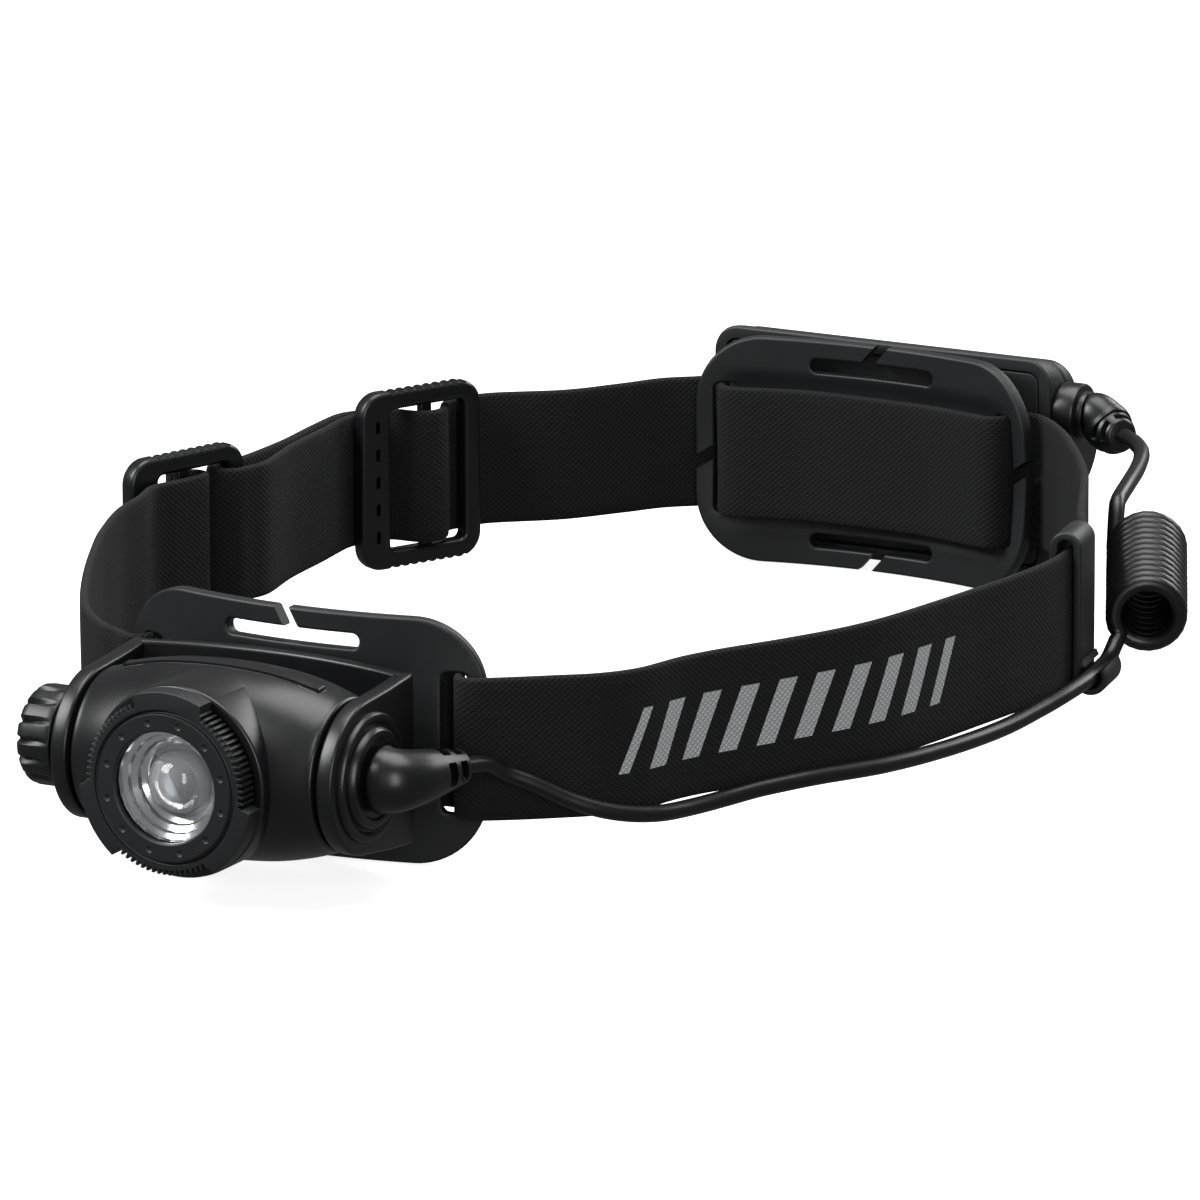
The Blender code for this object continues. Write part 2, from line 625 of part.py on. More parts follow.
def dimmer():
    """Fluted knob on the barrel's axis, with the shaft that it turns and the switch that reads it."""
    depth = abs(KNOB_OUTER_X) - abs(KNOB_INNER_X)
    base = abs(KNOB_INNER_X)
    top = base + depth
    knob = turned([(0, top), (6.0, top), (7.6, top - 0.7), (8.4, top - 2.0), (KNOB_RADIUS, top - 3.6),
                   (KNOB_RADIUS, base), (0, base)], PIVOT, "-X", 30)
    for flute in range(KNOB_FLUTES):
        angle = 2 * math.pi * flute / KNOB_FLUTES
        groove = rod((0, 0, 0), "X", 6.4, 0.35, 4, end_radius=1.1)
        tilt = Matrix.Rotation(angle, 4, "X")
        out = Matrix.Translation(metres((KNOB_OUTER_X + 2.6, 0, KNOB_RADIUS + 0.2)))
        cone_to_left = Matrix.Rotation(-math.pi / 2, 4, "Y")
        groove.matrix_basis = Matrix.Translation(metres(PIVOT)) @ tilt @ out @ cone_to_left
        boolean(knob, groove)
    sub_part(knob, "dimmer_knob", "rubber", DIMMER)
    shaft_length = base - 0.35 - 17.0
    shaft = rod((-(17.0 + shaft_length / 2), PIVOT[1], PIVOT[2]), "X", shaft_length, 1.7, 20)
    sub_part(shaft, "dimmer_shaft", "steel", DIMMER)
    switch = box((-16.6, PIVOT[1] - 3.6, -5), (-13.2, PIVOT[1] + 7.2, 5))
    sub_part(switch, "dimmer_switch", "moulded_grey", LAMP)


def ear_outline():
    """Side view of the bracket, in (Y, Z): round at the pivot and square at the back."""
    top = math.degrees(math.atan2(0.99, 0.09))
    outline = arc((PIVOT[1], PIVOT[2]), EAR_RADIUS, 360 - top, top, 26)
    return outline + [(BRACKET_REAR_Y, BRACKET_TOP_Z), (12, BRACKET_TOP_Z + 1.6), (12, BRACKET_BOTTOM_Z),
                      (BRACKET_REAR_Y, BRACKET_BOTTOM_Z)]


def ear_boss(side):
    """Stepped rings on the outer face of an ear."""
    rings = [(0, 1.2), (6.0, 1.2), (6.3, 0.8), (9.4, 0.8), (10.8, 0.5), (11.2, -1.0), (0, -1.0)]
    if side < 0:
        rings = [(0, 0.9), (8.2, 0.9), (9.2, 0.6), (10.8, 0.4), (11.2, -1.0), (0, -1.0)]
    return turned(rings, (side * EAR_OUTER_X, PIVOT[1], 0), "X" if side > 0 else "-X", 36)


def lamp_bracket():
    """A U-shaped moulding: two ears and a curved back that meets the front plate at its middle."""
    reach = 1.2 + BRACKET_BACK_BEND
    half_angle = math.degrees(math.asin(EAR_OUTER_X / BRACKET_BACK_BEND))
    inner_angle = math.degrees(math.asin(EAR_INNER_X / (BRACKET_BACK_BEND - BRACKET_WALL)))
    outline = [(EAR_OUTER_X, -40), (EAR_OUTER_X, BRACKET_REAR_Y)]
    outline += arc((0, -reach), BRACKET_BACK_BEND, 90 - half_angle + 1, 90 + half_angle - 1, 14)
    outline += [(-EAR_OUTER_X, BRACKET_REAR_Y), (-EAR_OUTER_X, -40), (-EAR_INNER_X, -40)]
    outline += arc((0, -reach), BRACKET_BACK_BEND - BRACKET_WALL, 90 + inner_angle, 90 - inner_angle, 14)
    outline.append((EAR_INNER_X, -40))
    plan = prism([outline], 60)
    profile = prism([ear_outline()], 80, (0, 0, 0), (math.pi / 2, 0, math.pi / 2))
    boolean(plan, profile, "INTERSECT")
    boolean(plan, box((-12.5, -2.6, -9), (12.5, -0.35, 9)), "UNION")
    for side in (1, -1):
        boolean(plan, ear_boss(side), "UNION")
        boolean(plan, rod((side * EAR_OUTER_X, PIVOT[1], 0), "X", 12, BUSH_HOLE_RADIUS, 24))
        boolean(plan, rod((side * SCREW_X, 0, 0), "Y", 12, SCREW_HOLE_RADIUS, 16))
    return sub_part(plan, "lamp_bracket", "lamp_black", HEADBAND)


def plate_screw(name, x, y, facing):
    """A flat-head screw through a plate: head on the strap side, shank towards what the plate carries."""
    head = PLATE_THICKNESS + x * x / (2 * PLATE_BEND) - 0.15
    profile = [(0, head), (SCREW_HEAD_RADIUS, head), (SCREW_HEAD_RADIUS, head - 0.9), (1.1, head - 0.9),
               (1.1, -1.9), (0, -1.9)]
    screw = turned(profile, (x, y, 0), "Y" if facing > 0 else "-Y", 16)
    return sub_part(screw, name, "steel", HEADBAND)


# --- battery pack ---------------------------------------------------------------------------------

def pack_loft(sections):
    """A solid through rounded rectangles, each (inset at top and bottom, height, Y)."""
    rings = [rounded_rectangle(PACK_WIDTH - 0.5 * less, height - 2 * less, 4.9 - 0.3 * less, 5)
             for less, height, _ in sections]
    points = [metres((x, y, z + PACK_MIDDLE_Z)) for ring, (_, _, y) in zip(rings, sections) for x, z in ring]
    count = len(rings[0])
    faces = [tuple(range(count)), tuple(range(len(points) - 1, len(points) - count - 1, -1))]
    for level in range(len(rings) - 1):
        for i in range(count):
            j = (i + 1) % count
            start, end = level * count, (level + 1) * count
            faces.append((start + j, start + i, end + i, end + j))
    mesh = bpy.data.meshes.new("loft")
    mesh.from_pydata(points, [], faces)
    return link_mesh(mesh)


def pack_half(name, front):
    """The pack's frame half, open at its face, or its rear cover with the round cell housing."""
    back = PACK_FRONT_Y + PACK_FRAME_DEPTH
    flat = AXIS_TURN["-Y"]
    half = PACK_WIDTH / 2
    cell_bore = rod((0, CELL_Y, CELL_Z), "X", PACK_WIDTH - 3.2, CELL_RADIUS + 0.3, 32)
    if front:
        frame = pack_loft([(0, PACK_HEIGHT, PACK_FRONT_Y), (0, PACK_HEIGHT, PACK_FRONT_Y + 1.2),
                           (0, PACK_BACK_HEIGHT, back)])
        recess = rounded_rectangle(PACK_WIDTH - 4.6, PACK_HEIGHT - 4.6, 2.2, 4)
        boolean(frame, prism([recess], 3.2, (0, PACK_FRONT_Y, PACK_MIDDLE_Z), flat))
        inside = rounded_rectangle(PACK_WIDTH - 6.0, PACK_BACK_HEIGHT - 4.0, 1.5, 4)
        boolean(frame, prism([inside], 4.0, (0, back + 0.4, PACK_MIDDLE_Z), flat))
        boolean(frame, cell_bore)
        for side in (1, -1):
            boolean(frame, rod((side * SCREW_X, PACK_FRONT_Y, 0), "Y", 12, SCREW_HOLE_RADIUS, 16))
        return sub_part(frame, name, "moulded_grey", HEADBAND)
    low = back + GAP
    radius = PACK_EDGE_RADIUS
    slab = pack_loft([(0, PACK_BACK_HEIGHT, low)] + [
        (radius * (1 - math.cos(angle)), PACK_BACK_HEIGHT,
         low + PACK_COVER_DEPTH - radius * (1 - math.sin(angle)))
        for angle in np.linspace(0, math.pi / 2, 5)])
    bulge = turned([(0, half), (CELL_SHELL_RADIUS - 1.5, half), (CELL_SHELL_RADIUS, half - 1.5),
                    (CELL_SHELL_RADIUS, 1.5 - half), (CELL_SHELL_RADIUS - 1.5, -half), (0, -half)],
                   (0, CELL_Y, CELL_Z), "X", 36)
    boolean(bulge, box((-half - 1, low - 20, -20), (half + 1, low, 30)))
    boolean(slab, bulge, "UNION")
    boolean(slab, cell_bore)
    low_z = PACK_MIDDLE_Z - PACK_BACK_HEIGHT / 2
    boolean(slab, box((2.0 - half, low - 1, low_z + 2.0),
                      (half - 2.0, low + 3.8, low_z + PACK_BACK_HEIGHT - 2.0)))
    boolean(slab, rod((0, low + 6, CONTACT_Z), "Y", 5.2, CONTACT_RADIUS + 0.4, 24))
    return sub_part(slab, name, "moulded_grey", HEADBAND)


def battery_pack():
    pack_half("battery_case_front", True)
    pack_half("battery_case_rear", False)
    flat = AXIS_TURN["-Y"]
    panel = prism([rounded_rectangle(PACK_WIDTH - 5.4, PACK_HEIGHT - 5.4, 1.9, 4)], 0.9,
                  (0, PACK_FRONT_Y + 0.8, PACK_MIDDLE_Z), flat)
    for side in (1, -1):
        boolean(panel, rod((side * SCREW_X, PACK_FRONT_Y, 0), "Y", 12, SCREW_HOLE_RADIUS, 16))
    sub_part(panel, "battery_case_panel", "moulded_grey", HEADBAND)
    cell = rod((0, CELL_Y, CELL_Z), "X", CELL_LENGTH - 1.2, CELL_RADIUS, 32)
    sub_part(cell, "battery_cell", "cell_wrap", HEADBAND)
    reach = CELL_LENGTH / 2
    for side, name in ((1, "cell_contact_cable_side"), (-1, "cell_contact_far_side")):
        x = side * (reach + 0.1)
        sub_part(rod((x, CELL_Y, CELL_Z), "X", 0.7, 4.5, 24), name, "brass", HEADBAND)
    low = PACK_FRONT_Y + PACK_FRAME_DEPTH
    board = box((-26, low + 0.6, -15.9), (26, low + 2.2, -6.0))
    sub_part(board, "charging_board", "circuit_green", HEADBAND)
    contact = turned([(0, low + 5.8), (CONTACT_RADIUS, low + 5.8), (CONTACT_RADIUS, low + 2.5), (0, low + 2.5)],
                     (0, 0, CONTACT_Z), "Y", 24)
    sub_part(contact, "charging_contact", "brass", HEADBAND)


# --- cable -------------------------------------------------------------------------------------------

FRONT_BOOT_ROUTE = [(29.7, -21.2, 0), (30.8, -21.2, 0), (32.3, -20.5, 0), (33.8, -18.2, 0),
                    (34.9, -15.0, 0), (35.9, -11.8, 0), (36.7, -9.4, 0), (37.3, -7.6, 0)]
FRONT_BOOT_RADII = [5.2, 5.2, 5.1, 4.7, 4.2, 3.5, 3.0, 2.7]
FRONT_RUN = [
    (37.5, -7.1, -0.1), (38.3, -3.6, -0.5), (38.9, 0.0, -1.5), (39.9, 2.6, -3.2), (43.8, 5.6, -5.3),
    (48.1, 9.0, -8.1),
    (52.5, 12.4, -10.3), (56.3, 16.9, -11.8), (59.3, 22.5, -12.7), (61.5, 29.8, -13.1), (64.0, 36.9, -13.0),
    (67.0, 43.0, -12.5), (70.3, 48.8, -12.2), (73.4, 54.6, -12.1), (79.2, 67.6, -12.5), (83.2, 83.8, -12.9),
    (85.7, 99.9, -12.9), (87.4, 112.1, -11.9), (88.5, 120.0, -10.9), (88.75, 128.2, -10.2),
    (87.62, 134.1, -10.2), (86.5, 140.0, -10.2), (86.1, 142.5, -9.6), (85.8, 144.6, -8.6),
]
REAR_RUN = [
    (67.2, 184.0, 4.3), (66.4, 186.2, 5.8), (65.4, 189.6, 6.8), (63.9, 196.0, 7.6), (61.1, 206.0, 8.2),
    (57.9, 214.4, 8.8), (53.5, 221.0, 8.8), (48.9, 225.75, 8.6),
]
PLUG_ROUTE = [(40.6, 229.4, 10.9), (41.6, 229.4, 10.9), (42.8, 229.4, 10.0), (44.0, 229.2, 9.1),
              (45.3, 228.4, 8.5), (46.8, 227.4, 8.4), (48.3, 226.3, 8.5)]
PLUG_RADII = [4.2, 4.3, 4.5, 4.6, 4.3, 3.7, 2.9]


def cable():
    boot = tube(FRONT_BOOT_ROUTE, 1.0, 4, FRONT_BOOT_RADII)
    sub_part(boot, "cable_boot_front", "cable_black", HEADBAND)
    spacing = 2.3 * CABLE_DIAMETER
    front = tube(smooth_route(FRONT_RUN, spacing), CABLE_DIAMETER / 2)
    sub_part(front, "cable_front_run", "cable_black", HEADBAND)
    along = (Vector(COIL_FAR) - Vector(COIL_NEAR)).normalized()
    ends = [Vector(COIL_NEAR) - along * 1.5, Vector(COIL_FAR) + along * 1.5]
    sub_part(tube(ends, COIL_OUTER_RADIUS, 4), "cable_coil", "cable_black", HEADBAND)
    rear = tube(smooth_route(REAR_RUN, spacing), CABLE_DIAMETER / 2)
    sub_part(rear, "cable_rear_run", "cable_black", HEADBAND)
    sub_part(tube(PLUG_ROUTE, 1.0, 4, PLUG_RADII), "battery_plug", "cable_black", HEADBAND)
    collar = [(0, 5.0), (4.3, 5.0), (4.3, 3.9), (5.3, 3.8), (5.7, 3.4), (5.7, 0), (0, 0)]
    socket = turned(collar, (PACK_WIDTH / 2 + GAP, *SOCKET_PLACE), "X", 28)
    sub_part(socket, "battery_socket", "moulded_grey", HEADBAND)


# --- assembly --------------------------------------------------------------------------------------

clear_scene()
PARTS = new_collection("headlamp")
CUTTERS = new_collection("cutters")
MATERIALS = {name: new_material(name) for name in COLOURS}
parent_place = {}

HEADBAND = new_empty("headband", (0, 0, 0))
LAMP = new_empty("lamp_pivot", PIVOT, HEADBAND)
FOCUS = new_empty("focus_axis", (0, RING_BACK_Y, 0), LAMP)
LENS = new_empty("lens_axis", (0, LENS_CENTRE_Y, 0), LAMP)
DIMMER = new_empty("dimmer_axis", (KNOB_INNER_X, PIVOT[1], PIVOT[2]), LAMP)

plate("front_plate", 0.0, 1)
plate("rear_plate", REAR_PLATE_Y + PLATE_THICKNESS, -1)
webbing()
buckle("adjuster_buckle_front", FRONT_BUCKLE, -0.6, 2.0)
buckle("adjuster_buckle_rear", REAR_BUCKLE, 1.6, 1.6)
strap_clip()
lamp_bracket()
for screw_side, screw_name in ((1, "cable_side"), (-1, "knob_side")):
    plate_screw("bracket_screw_" + screw_name, screw_side * SCREW_X, 0.0, 1)
    plate_screw("battery_screw_" + screw_name, screw_side * SCREW_X, REAR_PLATE_Y + PLATE_THICKNESS, -1)
lamp_housing("lamp_housing_front", True)
lamp_housing("lamp_housing_rear", False)
focus_assembly()
lamp_inside()
dimmer()
battery_pack()
cable()
HEADBAND.location = metres(LAYOUT_SHIFT)
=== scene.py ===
# %% [markdown]
# # A rechargeable headlamp
# A lamp head tilts in a bracket on a bent front plate. An elastic webbing headband runs through that plate,
# two adjusters and a matching rear plate, which carries the battery pack. A cable with a coiled middle
# joins the pack to the lamp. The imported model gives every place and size, and this script builds the
# surfaces around it.

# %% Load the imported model
import json
import math

import bmesh
import bpy
import numpy as np
from mathutils import Matrix, Vector, noise


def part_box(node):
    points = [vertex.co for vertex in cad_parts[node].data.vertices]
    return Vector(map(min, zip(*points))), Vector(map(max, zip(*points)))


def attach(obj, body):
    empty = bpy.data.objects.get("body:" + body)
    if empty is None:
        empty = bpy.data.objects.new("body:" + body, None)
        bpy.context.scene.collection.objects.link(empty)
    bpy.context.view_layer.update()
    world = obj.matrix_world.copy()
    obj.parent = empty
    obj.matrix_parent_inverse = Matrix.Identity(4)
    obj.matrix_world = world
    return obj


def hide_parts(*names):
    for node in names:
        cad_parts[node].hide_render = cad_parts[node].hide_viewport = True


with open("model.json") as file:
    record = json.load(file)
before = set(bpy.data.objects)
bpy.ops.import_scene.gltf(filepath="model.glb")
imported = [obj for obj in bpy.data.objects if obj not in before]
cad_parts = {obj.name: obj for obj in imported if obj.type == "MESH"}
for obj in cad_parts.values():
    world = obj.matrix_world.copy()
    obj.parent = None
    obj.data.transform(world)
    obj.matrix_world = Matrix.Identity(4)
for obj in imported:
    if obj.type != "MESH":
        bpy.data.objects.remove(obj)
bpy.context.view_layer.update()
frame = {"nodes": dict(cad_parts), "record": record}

# %% [markdown]
# Everything below is drawn in millimetres from one easy place: the middle of the front plate's outer face.
# X runs to the wearer's left, Y from the lamp to the battery and Z up. The plate's own box says where that
# is in the model, so nothing has to be fitted by eye.

# %% Millimetres, from the front plate's outer face
MM = 0.001
plate_low, plate_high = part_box("front_plate")
DATUM = Vector(((plate_low.x + plate_high.x) / 2, plate_low.y, (plate_low.z + plate_high.z) / 2))


def at(x, y, z):
    """A point given in millimetres from the datum, in the model's own metres."""
    return DATUM + Vector((x, y, z)) * MM


def in_scene(data, name=None):
    """An object that holds this data, in the scene."""
    shape = bpy.data.objects.new(name or data.name, data)
    bpy.context.scene.collection.objects.link(shape)
    return shape


print("datum:", [round(c, 4) for c in DATUM], "floor at", round(-DATUM.z / MM, 2), "mm")

# %% [markdown]
# The camera stands slightly above the band, in front of the lamp and to the wearer's left. A long lens
# keeps the front and the rear of the band nearly the same size.

# %% Camera
CAMERA_PLACE = (977.65, -1723.35, 525.68)
CAMERA_RIGHT = Vector((0.8826, 0.4701, 0.0))
CAMERA_UP = Vector((-0.1157, 0.2173, 0.9692))
CAMERA_LENS = 361.5
CAMERA_ROLL = math.radians(-0.17)

camera_data = bpy.data.cameras.new("camera")
camera_data.lens = CAMERA_LENS
camera_data.sensor_width = 36.0
camera_data.clip_start = 0.05
camera_data.clip_end = 60.0
camera = in_scene(camera_data)
right = CAMERA_RIGHT.normalized()
back = right.cross(CAMERA_UP).normalized()
up = back.cross(right)
turn = Matrix((right, up, back)).transposed() @ Matrix.Rotation(CAMERA_ROLL, 3, "Z")
camera.matrix_world = Matrix.Translation(at(*CAMERA_PLACE)) @ turn.to_4x4()
bpy.context.scene.camera = camera
print("camera", round((camera.location - DATUM).length, 3), "m from the front plate")

# %% [markdown]
# ## Finishes
# Every finish is a small node tree. One function turns the hex colours of a paint chart into the linear
# values that the shader works in, and one adds a node with its settings and links.

# %% Colours and nodes
def colour(code):
    """An sRGB hex colour as the linear RGBA that a shader wants."""
    parts = [int(code[i:i + 2], 16) / 255 for i in (1, 3, 5)]
    linear = [c / 12.92 if c <= 0.04045 else ((c + 0.055) / 1.055) ** 2.4 for c in parts]
    return (*linear, 1.0)


def fill(tree, node, **values):
    """Fill a node's sockets, each by its name or, after an underscore, by its number."""
    for name, value in values.items():
        socket = node.inputs[int(name[1:]) if name[0] == "_" else name.replace("_", " ")]
        if isinstance(value, bpy.types.NodeSocket):
            tree.links.new(value, socket)
        else:
            socket.default_value = value
    return node


def add(tree, kind, settings=None, **values):
    """Add a node with its own settings, and fill its sockets with values or other nodes' outputs."""
    node = tree.nodes.new("ShaderNode" + kind)
    for name, value in (settings or {}).items():
        setattr(node, name, value)
    return fill(tree, node, **values)


def new_finish(name):
    """A fresh material with its node tree and its Principled shader."""
    material = bpy.data.materials.new(name)
    material.use_nodes = True
    tree = material.node_tree
    return material, tree, tree.nodes["Principled BSDF"]


print("white as linear values:", colour("#ffffff"))

# %% [markdown]
# Strap plates and battery cases are moulded from nylon with glass fibre. The mould is spark eroded, which
# leaves an even grain of about 0.15 mm. That is too fine to show here, so it is drawn at 0.35 mm. It
# scatters light, so the surface looks dull charcoal with a broad soft sheen, and slow clouds of noise leave
# some places a little smoother and lighter. Polycarbonate comes out of the mould satin. The cable's PVC is
# extruded, so its grain is wide and faint.

# %% Moulded and extruded plastics, and rubber
CLOUD_SCALE = 60.0  # per metre, so one cloud is about 17 mm wide
PLASTIC_IOR = 1.5


def moulded(name, base, light, rough, grain_mm, grain_height, wear=0.06):
    """A moulded finish: even grain in the mould, faint clouding of colour, and uneven polish."""
    material, tree, shader = new_finish(name)
    place = add(tree, "TexCoord").outputs["Object"]
    grain = add(tree, "TexNoise", Vector=place, Scale=1 / (grain_mm * MM), Detail=3.0,
                Roughness=0.6)
    cloud = add(tree, "TexNoise", Vector=place, Scale=CLOUD_SCALE, Detail=4.0,
                Roughness=0.55).outputs["Fac"]
    share = add(tree, "MapRange", Value=cloud, To_Min=0.1, To_Max=0.9).outputs["Result"]
    mix = add(tree, "Mix", {"data_type": "RGBA"}, Factor=share, _6=colour(base), _7=colour(light))
    polish = add(tree, "MapRange", Value=cloud, To_Min=rough - wear, To_Max=rough + wear).outputs["Result"]
    bump = add(tree, "Bump", Height=grain.outputs["Fac"], Strength=0.55, Distance=grain_height * MM)
    fill(tree, shader, Base_Color=mix.outputs[2], Roughness=polish, Normal=bump.outputs["Normal"],
         IOR=PLASTIC_IOR)
    return material


SPARK_NYLON = moulded("spark_eroded_nylon", "#111214", "#161719", 0.5, 0.35, 0.012)
SATIN_PC = moulded("satin_polycarbonate", "#0b0b0d", "#0f1012", 0.33, 0.3, 0.006)
SOFT_RUBBER = moulded("moulded_rubber", "#111113", "#17181a", 0.62, 0.5, 0.02)
SATIN_RUBBER = moulded("satin_knob_rubber", "#0c0c0e", "#111214", 0.4, 0.4, 0.01)
SOFT_PVC = moulded("soft_pvc", "#0a0a0c", "#0e0f11", 0.34, 0.4, 0.008)
EXTRUDED_PVC = moulded("extruded_pvc", "#08080a", "#0c0c0e", 0.36, 0.8, 0.006, 0.04)
print("moulded finishes:", SPARK_NYLON.name, SATIN_PC.name, SOFT_RUBBER.name, EXTRUDED_PVC.name)

# %% [markdown]
# The headband is elastic polyester webbing, 25 mm wide. Covered rubber threads run along it and thicker
# weft floats cross them in a staggered brick pattern, which catches light as rows of tiny dots, a little
# over half a millimetre apart. The product of two cosines gives that staggered grid. It raises the floats,
# and it also paints them lighter: a painted highlight of the light they catch, varied at random by slow
# clouds. The slanted bars are a generic reflective print, whose ink sits on the raised floats.

# %% Elastic webbing
WEAVE_PITCH = 0.56
WEFT_STRETCH = 1.12
FUZZ_SCALE = 2600.0  # per metre, for loose fibres of about 0.4 mm
PRINT_BARS = {"start": 62.0, "end": 135.0, "half_height": 5.5, "pitch": 8.0, "gap_share": 0.52, "lean": 0.45}


def woven(name, base, light, bars=None):
    """Webbing with staggered floats painted lighter as a highlight, fuzz, and slanted printed bars where their
    sizes are given.
    """
    material, tree, shader = new_finish(name)
    uv = add(tree, "UVMap", {"uv_map": "cloth"}).outputs["UV"]
    axes = add(tree, "SeparateXYZ", Vector=uv)
    length, width = axes.outputs["X"], axes.outputs["Y"]
    waves = []
    for axis, stretch in ((length, 1.0), (width, WEFT_STRETCH)):
        phase = add(tree, "Math", {"operation": "MULTIPLY"}, _0=axis,
                    _1=math.pi / (WEAVE_PITCH * MM) * stretch).outputs[0]
        waves.append(add(tree, "Math", {"operation": "COSINE"}, _0=phase).outputs[0])
    dots = add(tree, "Math", {"operation": "MULTIPLY"}, _0=waves[0], _1=waves[1]).outputs[0]
    raised = add(tree, "MapRange", Value=dots, From_Min=-0.2, From_Max=1.0).outputs["Result"]
    fuzz = add(tree, "TexNoise", Vector=uv, Scale=FUZZ_SCALE, Detail=4.0,
               Roughness=0.7).outputs["Fac"]
    cloud = add(tree, "TexNoise", Vector=uv, Scale=90.0, Detail=3.0).outputs["Fac"]
    height = add(tree, "Math", {"operation": "MULTIPLY_ADD"}, _0=fuzz, _1=0.45,
                 _2=raised).outputs[0]
    # Raised floats are painted lighter here. This is a painted highlight of the light they catch, and a slow
    # cloud varies it at random.
    float_highlight_and_cloud = add(tree, "Math", {"operation": "MULTIPLY"}, _0=raised, _1=cloud).outputs[0]
    tint = add(tree, "Mix", {"data_type": "RGBA"}, Factor=float_highlight_and_cloud, _6=colour(base),
               _7=colour(light)).outputs[2]
    rough = add(tree, "MapRange", Value=cloud, To_Min=0.86, To_Max=0.96).outputs["Result"]
    if bars:
        lean = add(tree, "Math", {"operation": "MULTIPLY_ADD"}, _0=width, _1=-bars["lean"],
                   _2=length).outputs[0]
        count = add(tree, "Math", {"operation": "DIVIDE"}, _0=lean,
                    _1=bars["pitch"] * MM).outputs[0]
        saw = add(tree, "Math", {"operation": "FRACT"}, _0=count).outputs[0]
        tests = [(saw, "GREATER_THAN", bars["gap_share"]), (lean, "GREATER_THAN", bars["start"] * MM),
                 (lean, "LESS_THAN", bars["end"] * MM), (width, "GREATER_THAN", -bars["half_height"] * MM),
                 (width, "LESS_THAN", bars["half_height"] * MM)]
        ink = None
        for value, operation, limit in tests:
            test = add(tree, "Math", {"operation": operation}, _0=value, _1=limit).outputs[0]
            if ink is not None:
                test = add(tree, "Math", {"operation": "MULTIPLY"}, _0=test, _1=ink).outputs[0]
            ink = test
        held = add(tree, "MapRange", Value=raised, To_Min=0.62, To_Max=0.95).outputs["Result"]
        ink = add(tree, "Math", {"operation": "MULTIPLY"}, _0=ink, _1=held).outputs[0]
        tint = add(tree, "Mix", {"data_type": "RGBA"}, Factor=ink, _6=tint,
                   _7=colour("#c9cbcc")).outputs[2]
        rough = add(tree, "Mix", {"data_type": "FLOAT"}, Factor=ink, _2=rough, _3=0.5).outputs[0]
    bump = add(tree, "Bump", Height=height, Strength=0.9, Distance=0.16 * MM)
    fill(tree, shader, Base_Color=tint, Roughness=rough, Normal=bump.outputs["Normal"], IOR=1.45,
         Sheen_Weight=0.06, Sheen_Roughness=0.45, Sheen_Tint=colour("#5a5d63"))
    return material


WEBBING = woven("elastic_webbing", "#040405", "#101113")
PRINTED_WEBBING = woven("printed_elastic_webbing", "#040405", "#101113", PRINT_BARS)
print("webbing with a thread spacing of", WEAVE_PITCH, "mm")

# %% [markdown]
# The optic is acrylic, clear and slightly denser than window glass, in a vacuum-metallised cup. A sixth of
# the lens is drawn diffuse near-white, a painted reflection that brightens the dome. Small metal pieces are
# plain zinc-plated steel, turned aluminium and brass. A metal keeps the default IOR.

# %% Optic and metals
MARK_SCALE = 900.0  # per metre, so the tool's marks are about a millimetre apart
ACRYLIC_IOR = 1.49


def metal(name, base, rough):
    """A plain machined or plated metal with fine uneven polish."""
    material, tree, shader = new_finish(name)
    place = add(tree, "TexCoord").outputs["Object"]
    marks = add(tree, "TexNoise", Vector=place, Scale=MARK_SCALE, Detail=3.0).outputs["Fac"]
    polish = add(tree, "MapRange", Value=marks, To_Min=rough * 0.7, To_Max=rough * 1.3).outputs["Result"]
    fill(tree, shader, Base_Color=colour(base), Metallic=1.0, Roughness=polish)
    return material


def clear_acrylic():
    """A clear moulding with faint flow marks, partly diffuse white as a painted reflection."""
    material, tree, shader = new_finish("clear_acrylic")
    place = add(tree, "TexCoord").outputs["Object"]
    flow = add(tree, "TexNoise", Vector=place, Scale=220.0, Detail=2.0)
    bump = add(tree, "Bump", Height=flow.outputs["Fac"], Strength=0.15, Distance=0.05 * MM)
    # Only 84% of the light passes through. The rest is diffuse near-white, a painted reflection that brightens
    # the dome.
    fill(tree, shader, Base_Color=colour("#f4f6f8"), Roughness=0.02, IOR=ACRYLIC_IOR,
         Transmission_Weight=0.84, Normal=bump.outputs["Normal"])
    return material


CLEAR_ACRYLIC = clear_acrylic()
METALLISED = metal("vacuum_metallised", "#f0f1f3", 0.16)
ZINC_STEEL = metal("zinc_plated_steel", "#9b9ea3", 0.3)
TURNED_ALUMINIUM = metal("turned_aluminium", "#c4c7cb", 0.32)
PLAIN_BRASS = metal("plain_brass", "#b8934a", 0.28)
SOLDER_MASK = moulded("green_solder_mask", "#123f28", "#18502f", 0.42, 0.4, 0.01)
PHOSPHOR = moulded("led_phosphor", "#d9bf52", "#e3cd6a", 0.5, 0.3, 0.01)
CELL_WRAP = moulded("cell_shrink_wrap", "#24426f", "#2a4c80", 0.34, 1.2, 0.01)
print("optic and metal finishes made")

# %% [markdown]
# Screws, the circuit board, the cell and the other solids that need no new surface keep the model's shape.
# Each takes the finish that its slot in the record names.

